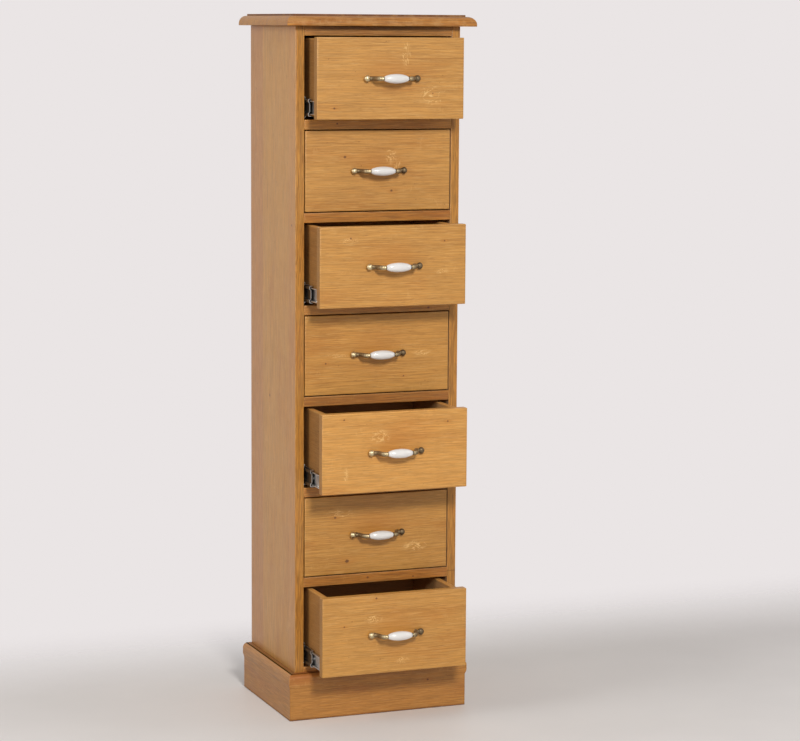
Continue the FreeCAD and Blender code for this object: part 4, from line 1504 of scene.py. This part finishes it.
runnerSizes = {  # mm; across is from the side board towards the drawer, up is from the runner's centre line
    "sheet": 1.2,
    "outer": (
        (9.8, 19.6, 0), (9.8, 22.25, 1.5), (0.6, 22.25, 1.7),
        (0.6, -22.25, 1.7), (9.8, -22.25, 1.5), (9.8, -19.6, 0),
    ),
    "middle": (
        (10.0, 18.1, 0), (3.2, 18.1, 2.3), (3.2, 12.2, 1.6), (6.2, 9.4, 1.6),
        (6.2, -9.4, 1.6), (3.2, -12.2, 1.6), (3.2, -18.1, 2.3), (10.0, -18.1, 0),
    ),
    "inner": ((5.7, 13.8, 0), (12.1, 13.8, 1.9), (12.1, -13.8, 1.9), (5.7, -13.8, 0)),
    "brightEnd": 1.5,
    "unshadedWebs": {"outer": 0.4, "middle": 0.0, "inner": 0.55},  # how much of its plain colour a member keeps between its lips, under the painted shade
    "holeRadius": 2.6,
    "outerHoles": (28, 92, 156, 222),  # from the front end
    "innerHoles": (20, 60, 124, 188, 232),
    "outerCut": (-2, 3),  # across, where the holes' cutters begin and end
    "innerCut": (10, 14),
    "outerScrews": (28, 156, 222),
    "innerScrews": (60, 124, 232),
    "space": 12.7,
    "balls": 13,  # in a row
    "ballRadius": 1.3,
    "row": 83,  # length of a cage with its balls
    "rowEnd": 10,
    "cage": (3.2, 1.0),
    "outerRow": (6.3, 20.03),
    "innerRow": (7.0, 16.10),
    "stop": ((6.9, 9.5), (0.4, 9), (-8.5, 8.5)),  # across, from the front end, and up
    "stopEasing": 0.8,
}

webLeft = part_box("side_left")[1].x  # inner face of the left side board
runnerHeights = {}
for number in drawers:
    low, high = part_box(f"drawer_{number}_runners")
    runnerHeights[number] = (low.z + high.z) / 2


# a place in a left-hand runner, from mm across, a Y in metres and mm up
def inRunner(number, across, y, up=0.0, side=-1):
    return Vector((side * (-webLeft - across * mm), y, runnerHeights[number] + up * mm))


# closed outline of bent sheet from its middle line; the last value is 1 at the sheet's two lips
def sheetOutline(corners, thickness):
    spots = [Vector(point[:2]) for point in softenOutline(corners, steps=5, closed=False)]
    last = len(spots) - 1
    near, far = [], []
    for index, spot in enumerate(spots):
        way = (spots[min(index + 1, last)] - spots[max(index - 1, 0)]).normalized()
        normal = Vector((-way.y, way.x)) * thickness
        lip = 1.0 if index in (0, last) else 0.0
        near.append((*(spot + normal * 0.5), lip))
        far.append((*(spot - normal * 0.5), lip))
    return near + far[::-1]


# left-hand runner member between two boxed ends: kind is outer, middle or inner. Its lips
# and ends are always bright, and painted shade darkens the webs between them
def makeMember(number, kind, ends, sizes):
    bm = bmesh.new()
    bright = bm.verts.layers.float.new("lip")
    unshaded = sizes["unshadedWebs"][kind]
    outline = sheetOutline(sizes[kind], sizes["sheet"])
    front, rear = (corner.y for corner in ends)
    inset = sizes["brightEnd"] * mm
    rings = []
    for y, end in ((front, 1.0), (front + inset, 0.0), (rear - inset, 0.0), (rear, 1.0)):
        ring = [bm.verts.new(inRunner(number, across, y, up)) for across, up, lip in outline]
        for vert, (across, up, lip) in zip(ring, outline):
            vert[bright] = max(lip, end, unshaded)
        rings.append(ring)
    closeTube(bm, rings)
    work = makePiece(bm, f"{kind}Work{number}", runnerZinc)
    holes = sizes.get(f"{kind}Holes")
    if not holes:
        return work
    cutter = bmesh.new()
    turned = Matrix.Rotation(math.radians(90), 4, "Y")
    start, stop = sizes[f"{kind}Cut"]
    radius = sizes["holeRadius"] * mm
    for hole in holes:
        spot = inRunner(number, (start + stop) / 2, front + hole * mm)
        bmesh.ops.create_cone(
            cutter, cap_ends=True, segments=20, radius1=radius, radius2=radius, depth=(stop - start) * mm,
            matrix=Matrix.Translation(spot) @ turned,
        )
    piece = cutOut(work, makePiece(cutter, f"{kind}Cutter", runnerZinc), f"{kind}{number}")
    for point in piece.data.attributes["lip"].data:  # the holes' own points start at 0
        point.value = max(point.value, unshaded)
    return piece


# left-hand pieces and their twins across X = 0 in one mesh
def bothHands(pieces, name):
    bm = bmesh.new()
    for piece in pieces:
        bm.from_mesh(piece.data)
    material = pieces[0].data.materials[0]
    for piece in pieces:
        bpy.data.objects.remove(piece)
    twins = bmesh.ops.duplicate(bm, geom=bm.verts[:] + bm.edges[:] + bm.faces[:])["geom"]
    verts = [item for item in twins if isinstance(item, bmesh.types.BMVert)]
    faces = [item for item in twins if isinstance(item, bmesh.types.BMFace)]
    bmesh.ops.scale(bm, vec=(-1, 1, 1), verts=verts)
    bmesh.ops.reverse_faces(bm, faces=faces)
    return meshPiece(bm, name, material, sharp=40)


def makeRunners(sizes):
    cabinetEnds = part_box("cabinet_runners")
    outers = []
    for number in drawers:
        outers.append(makeMember(number, "outer", cabinetEnds, sizes))
        node = f"drawer_{number}_slides"
        middle = bothHands([makeMember(number, "middle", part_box(node), sizes)], f"middleMembers_{number}")
        handOver(middle, f"drawer_{number}_slides", "zinc_steel", node)
        node = f"drawer_{number}_runners"
        inner = bothHands([makeMember(number, "inner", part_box(node), sizes)], f"innerMembers_{number}")
        handOver(inner, f"drawer_{number}", "zinc_steel", node)
    handOver(bothHands(outers, "outerMembers"), "carcase", "zinc_steel", "cabinet_runners")


makeRunners(runnerSizes)


# makes a geometry tree; the last value maps each input's name to its socket's identifier
def newGeometryTree(name, inputs):
    tree = bpy.data.node_groups.new(name, "GeometryNodeTree")
    sockets = {}
    for label, kind in inputs.items():
        socket = tree.interface.new_socket(label, in_out="INPUT", socket_type="NodeSocket" + kind)
        sockets[label] = socket.identifier
    tree.interface.new_socket("Geometry", in_out="OUTPUT", socket_type="NodeSocketGeometry")
    return tree, tree.nodes.new("NodeGroupInput").outputs, tree.nodes.new("NodeGroupOutput").inputs, sockets


# adds a node and fills its inputs, by name or by number
def placeNode(tree, kind, inputs, **settings):
    node = addNode(tree, kind, **settings)
    for label, value in inputs.items():
        feed(tree, node.inputs[label], value)
    return node.outputs


# both trees end in real geometry with one finish
def endTree(tree, many, source, result):
    real = placeNode(tree, "GeometryNodeRealizeInstances", {"Geometry": many["Instances"]})
    inputs = {"Geometry": real["Geometry"], "Material": source["Finish"]}
    feed(tree, result["Geometry"], placeNode(tree, "GeometryNodeSetMaterial", inputs)["Geometry"])


# a fastener on every point of the mesh, its head along the point's facing, turned by chance
def makeFastenerTree():
    inputs = {
        "Geometry": "Geometry", "Fastener": "Object", "Size": "Float",
        "Turn Seed": "Int", "Finish": "Material",
    }
    tree, source, result, sockets = newGeometryTree("placeFasteners", inputs)
    points = placeNode(tree, "GeometryNodeMeshToPoints", {"Mesh": source["Geometry"]})
    inputs = {"Object": source["Fastener"]}
    thing = placeNode(tree, "GeometryNodeObjectInfo", inputs, transform_space="ORIGINAL")
    facing = placeNode(tree, "GeometryNodeInputNamedAttribute", {"Name": "facing"}, data_type="FLOAT_VECTOR")
    aim = placeNode(tree, "FunctionNodeAlignRotationToVector", {"Vector": facing["Attribute"]}, axis="Z")
    inputs = {3: 2 * math.pi, "Seed": source["Turn Seed"]}  # 3 is the greatest turn
    chance = placeNode(tree, "FunctionNodeRandomValue", inputs, data_type="FLOAT")
    spin = placeNode(tree, "FunctionNodeAxisAngleToRotation", {"Axis": (0, 0, 1), "Angle": chance[1]})
    inputs = {"Rotation": aim["Rotation"], "Rotate By": spin["Rotation"]}
    turned = placeNode(tree, "FunctionNodeRotateRotation", inputs, rotation_space="LOCAL")
    many = placeNode(tree, "GeometryNodeInstanceOnPoints", {
        "Points": points["Points"], "Instance": thing["Geometry"],
        "Rotation": turned["Rotation"], "Scale": source["Size"],
    })
    endTree(tree, many, source, result)
    return tree, sockets


# a row of balls in its cage strip, drawn out along Y from every point of the mesh
def makeBallTree():
    inputs = {
        "Geometry": "Geometry", "Balls": "Int", "Pitch": "Float", "Ball Radius": "Float",
        "Cage Width": "Float", "Cage Thickness": "Float", "Finish": "Material",
    }
    tree, source, result, sockets = newGeometryTree("ballRow", inputs)
    offset = vectorOf(tree, y=source["Pitch"])
    line = placeNode(tree, "GeometryNodeMeshLine", {"Count": source["Balls"], "Offset": offset})
    inputs = {"Segments": 8, "Rings": 6, "Radius": source["Ball Radius"]}
    ball = placeNode(tree, "GeometryNodeMeshUVSphere", inputs)
    smooth = placeNode(tree, "GeometryNodeSetShadeSmooth", {"Geometry": ball["Mesh"]})
    inputs = {"Points": line["Mesh"], "Instance": smooth["Geometry"]}
    beads = placeNode(tree, "GeometryNodeInstanceOnPoints", inputs)
    length = times(tree, source["Pitch"], source["Balls"])
    size = vectorOf(tree, source["Cage Width"], length, source["Cage Thickness"])
    strip = placeNode(tree, "GeometryNodeMeshCube", {"Size": size})
    shift = vectorOf(tree, y=times(tree, minus(tree, length, source["Pitch"]), 0.5))
    centred = placeNode(tree, "GeometryNodeTransform", {"Geometry": strip["Mesh"], "Translation": shift})
    row = addNode(tree, "GeometryNodeJoinGeometry")
    for part in (beads["Instances"], centred["Geometry"]):
        tree.links.new(part, row.inputs["Geometry"])
    points = placeNode(tree, "GeometryNodeMeshToPoints", {"Mesh": source["Geometry"]})
    inputs = {"Points": points["Points"], "Instance": row.outputs["Geometry"]}
    rows = placeNode(tree, "GeometryNodeInstanceOnPoints", inputs)
    endTree(tree, rows, source, result)
    return tree, sockets


fastenerTree = makeFastenerTree()
ballTree = makeBallTree()


# runs a tree on loose points (place, facing) and keeps the result as a plain mesh
def scatter(name, spots, treeAndSockets, values):
    tree, sockets = treeAndSockets
    mesh = bpy.data.meshes.new(name)
    mesh.from_pydata([place for place, facing in spots], [], [])
    facing = mesh.attributes.new("facing", "FLOAT_VECTOR", "POINT")
    facing.data.foreach_set("vector", [part for place, way in spots for part in way])
    work = linkObject(name + "Work", mesh)
    modifier = work.modifiers.new(name, "NODES")
    modifier.node_group = tree
    for label, value in values.items():
        modifier[sockets[label]] = value
    return applied(work, name)


fastenerSizes = {  # mm
    "screwRadius": 3.3,
    "screwHeight": 1.7,
    "screwSides": 16,
    "screwRings": ((1.0, 0.0), (1.0, 0.45), (0.88, 0.80), (0.66, 1.0)),  # shares of radius and height
    "crossLong": 0.52,  # its recess, as shares of the head's radius and height
    "crossWide": 0.16,
    "crossTaper": 0.8,
    "crossFloor": 0.35,
    "pinSides": 10,
    "pinRings": ((1.1, -0.3), (1.1, 0.08), (0.8, 0.22)),  # radius and height
    "pinInset": 5,  # from the back panel's sides
    "pinEnds": (30, 30),  # from its lower and upper edges, for those along the sides
    "pinsUp": 12,
    "pinsAcross": 3,
    "edgePins": (8, 10),  # from its lower and upper edges, for those between
    "seeds": {"runnerScrews": 11, "backPanelPins": 5},  # of the turn of each head
}


# pan head with a cross recess, its underside on Z = 0
def makeScrewHead(sizes):
    bm = bmesh.new()
    radius, height, sides = sizes["screwRadius"], sizes["screwHeight"], sizes["screwSides"]
    rings = []
    for scale, rise in sizes["screwRings"]:
        rings.append(ringOf(bm, sides, lambda x, y: (radius * scale * x, radius * scale * y, rise * height)))
    joinRings(bm, rings)
    bm.faces.new(rings[0][::-1])
    arm, slot = sizes["crossLong"] * radius, sizes["crossWide"] * radius
    cross = [
        (slot, arm), (-slot, arm), (-slot, slot), (-arm, slot), (-arm, -slot), (-slot, -slot),
        (-slot, -arm), (slot, -arm), (slot, -slot), (arm, -slot), (arm, slot), (slot, slot),
    ]
    taper, floor = sizes["crossTaper"], sizes["crossFloor"] * height
    upper = [bm.verts.new((x, y, height)) for x, y in cross]
    lower = [bm.verts.new((x * taper, y * taper, floor)) for x, y in cross]
    border = [bm.edges.get((rings[-1][step], rings[-1][(step + 1) % sides])) for step in range(sides)]
    border += [bm.edges.new((upper[step], upper[(step + 1) % len(upper)])) for step in range(len(upper))]
    bmesh.ops.triangle_fill(bm, use_beauty=True, use_dissolve=False, edges=border)
    joinRings(bm, [upper, lower])
    bm.faces.new(lower[::-1])
    bmesh.ops.scale(bm, vec=(mm, mm, mm), verts=bm.verts)
    return makePiece(bm, "screwHead", zincPlate)


# small flat nail head, slightly domed
def makePinHead(sizes):
    bm = bmesh.new()
    rings = []
    for radius, z in sizes["pinRings"]:
        rings.append(ringOf(bm, sizes["pinSides"], lambda x, y: (radius * mm * x, radius * mm * y, z * mm)))
    closeTube(bm, rings)
    return makePiece(bm, "pinHead", zincPlate)


def placeFasteners(name, spots, body, head, seed):
    values = {"Fastener": head, "Size": 1.0, "Turn Seed": seed, "Finish": zincPlate}
    handOver(scatter(name, spots, fastenerTree, values), body, "zinc_steel")


# runner screws, and the handles' screws inside each drawer front
def makeScrews(sizes, runner, handle):
    head = makeScrewHead(sizes)
    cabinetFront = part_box("cabinet_runners")[0].y
    outerSpots = []
    for number in drawers:
        for hole in runner["outerScrews"]:
            for side in (-1, 1):
                spot = inRunner(number, runner["sheet"], cabinetFront + hole * mm, side=side)
                outerSpots.append((spot, (-side, 0, 0)))
        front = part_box(f"drawer_{number}_runners")[0].y
        seat = runner["space"] - runner["sheet"]
        spots = []
        for hole in runner["innerScrews"]:
            for side in (-1, 1):
                spots.append((inRunner(number, seat, front + hole * mm, side=side), (side, 0, 0)))
        low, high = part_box(f"drawer_{number}_front")
        for side in (-1, 1):
            spots.append(((side * handle["bossAlong"] * mm, high.y, (low.z + high.z) / 2), (0, 1, 0)))
        placeFasteners(f"drawerScrews_{number}", spots, f"drawer_{number}", head, number)
    placeFasteners("runnerScrews", outerSpots, "carcase", head, sizes["seeds"]["runnerScrews"])
    bpy.data.objects.remove(head)


# pins of the back panel, along its sides and between them at the bottom and the top
def makePins(sizes, behind):
    head = makePinHead(sizes)
    low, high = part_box("back_panel")
    back = high.y - behind * mm
    left, right = low.x + sizes["pinInset"] * mm, high.x - sizes["pinInset"] * mm
    lowest, highest = (edge * mm for edge in sizes["pinEnds"])
    up, along = sizes["pinsUp"] - 1, sizes["pinsAcross"] + 1
    rise = (high.z - low.z - lowest - highest) / up
    spots = [(x, low.z + lowest + step * rise) for x in (left, right) for step in range(up + 1)]
    under, over = (edge * mm for edge in sizes["edgePins"])
    for step in range(1, along):
        x = left + step * (right - left) / along
        spots += [(x, low.z + under), (x, high.z - over)]
    facing = [((x, back, z), (0, 1, 0)) for x, z in spots]
    placeFasteners("backPanelPins", facing, "carcase", head, sizes["seeds"]["backPanelPins"])
    bpy.data.objects.remove(head)


makeScrews(fastenerSizes, runnerSizes, handleSizes)
makePins(fastenerSizes, carcaseParts["backInset"])


# outer rows near the middle member's rear end, inner rows near its front end, so that both
# stay covered
def makeBallCages(sizes):
    row, end, ball = (sizes[name] * mm for name in ("row", "rowEnd", "ballRadius"))
    pitch = sizes["row"] / sizes["balls"] * mm
    width, thick = (part * mm for part in sizes["cage"])
    values = {
        "Balls": sizes["balls"], "Pitch": pitch, "Ball Radius": ball,
        "Cage Width": width, "Cage Thickness": thick, "Finish": ballSteel,
    }
    for number in drawers:
        low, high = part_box(f"drawer_{number}_slides")
        rows = (
            (*sizes["outerRow"], high.y - end - row + pitch / 2),
            (*sizes["innerRow"], low.y + end + pitch / 2),
        )
        spots = [
            (inRunner(number, across, y, way * rise, side), (0, 1, 0))
            for across, rise, y in rows
            for side in (-1, 1)
            for way in (-1, 1)
        ]
        piece = scatter(f"ballCages_{number}", spots, ballTree, values)
        handOver(piece, f"drawer_{number}_slides", "zinc_steel")


# black nylon stop in the front end of every middle member; it also stands in as painted shade inside the
# runner's end
def makeStops(sizes):
    across, along, up = sizes["stop"]
    for number in drawers:
        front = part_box(f"drawer_{number}_slides")[0].y
        bm = bmesh.new()
        for side in (-1, 1):
            corners = []
            for out, deep, rise in zip(across, along, up):
                corners.append(inRunner(number, out, front + deep * mm, rise, side))
            low, high = (Vector(map(pick, zip(*corners))) for pick in (min, max))
            addBlock(bm, low, high, sizes["stopEasing"] * mm, segments=2)
        handOver(makePiece(bm, f"runnerStops_{number}", blackNylon), f"drawer_{number}_slides", "zinc_steel")


makeBallCages(runnerSizes)
makeStops(runnerSizes)

print("semainier: done")
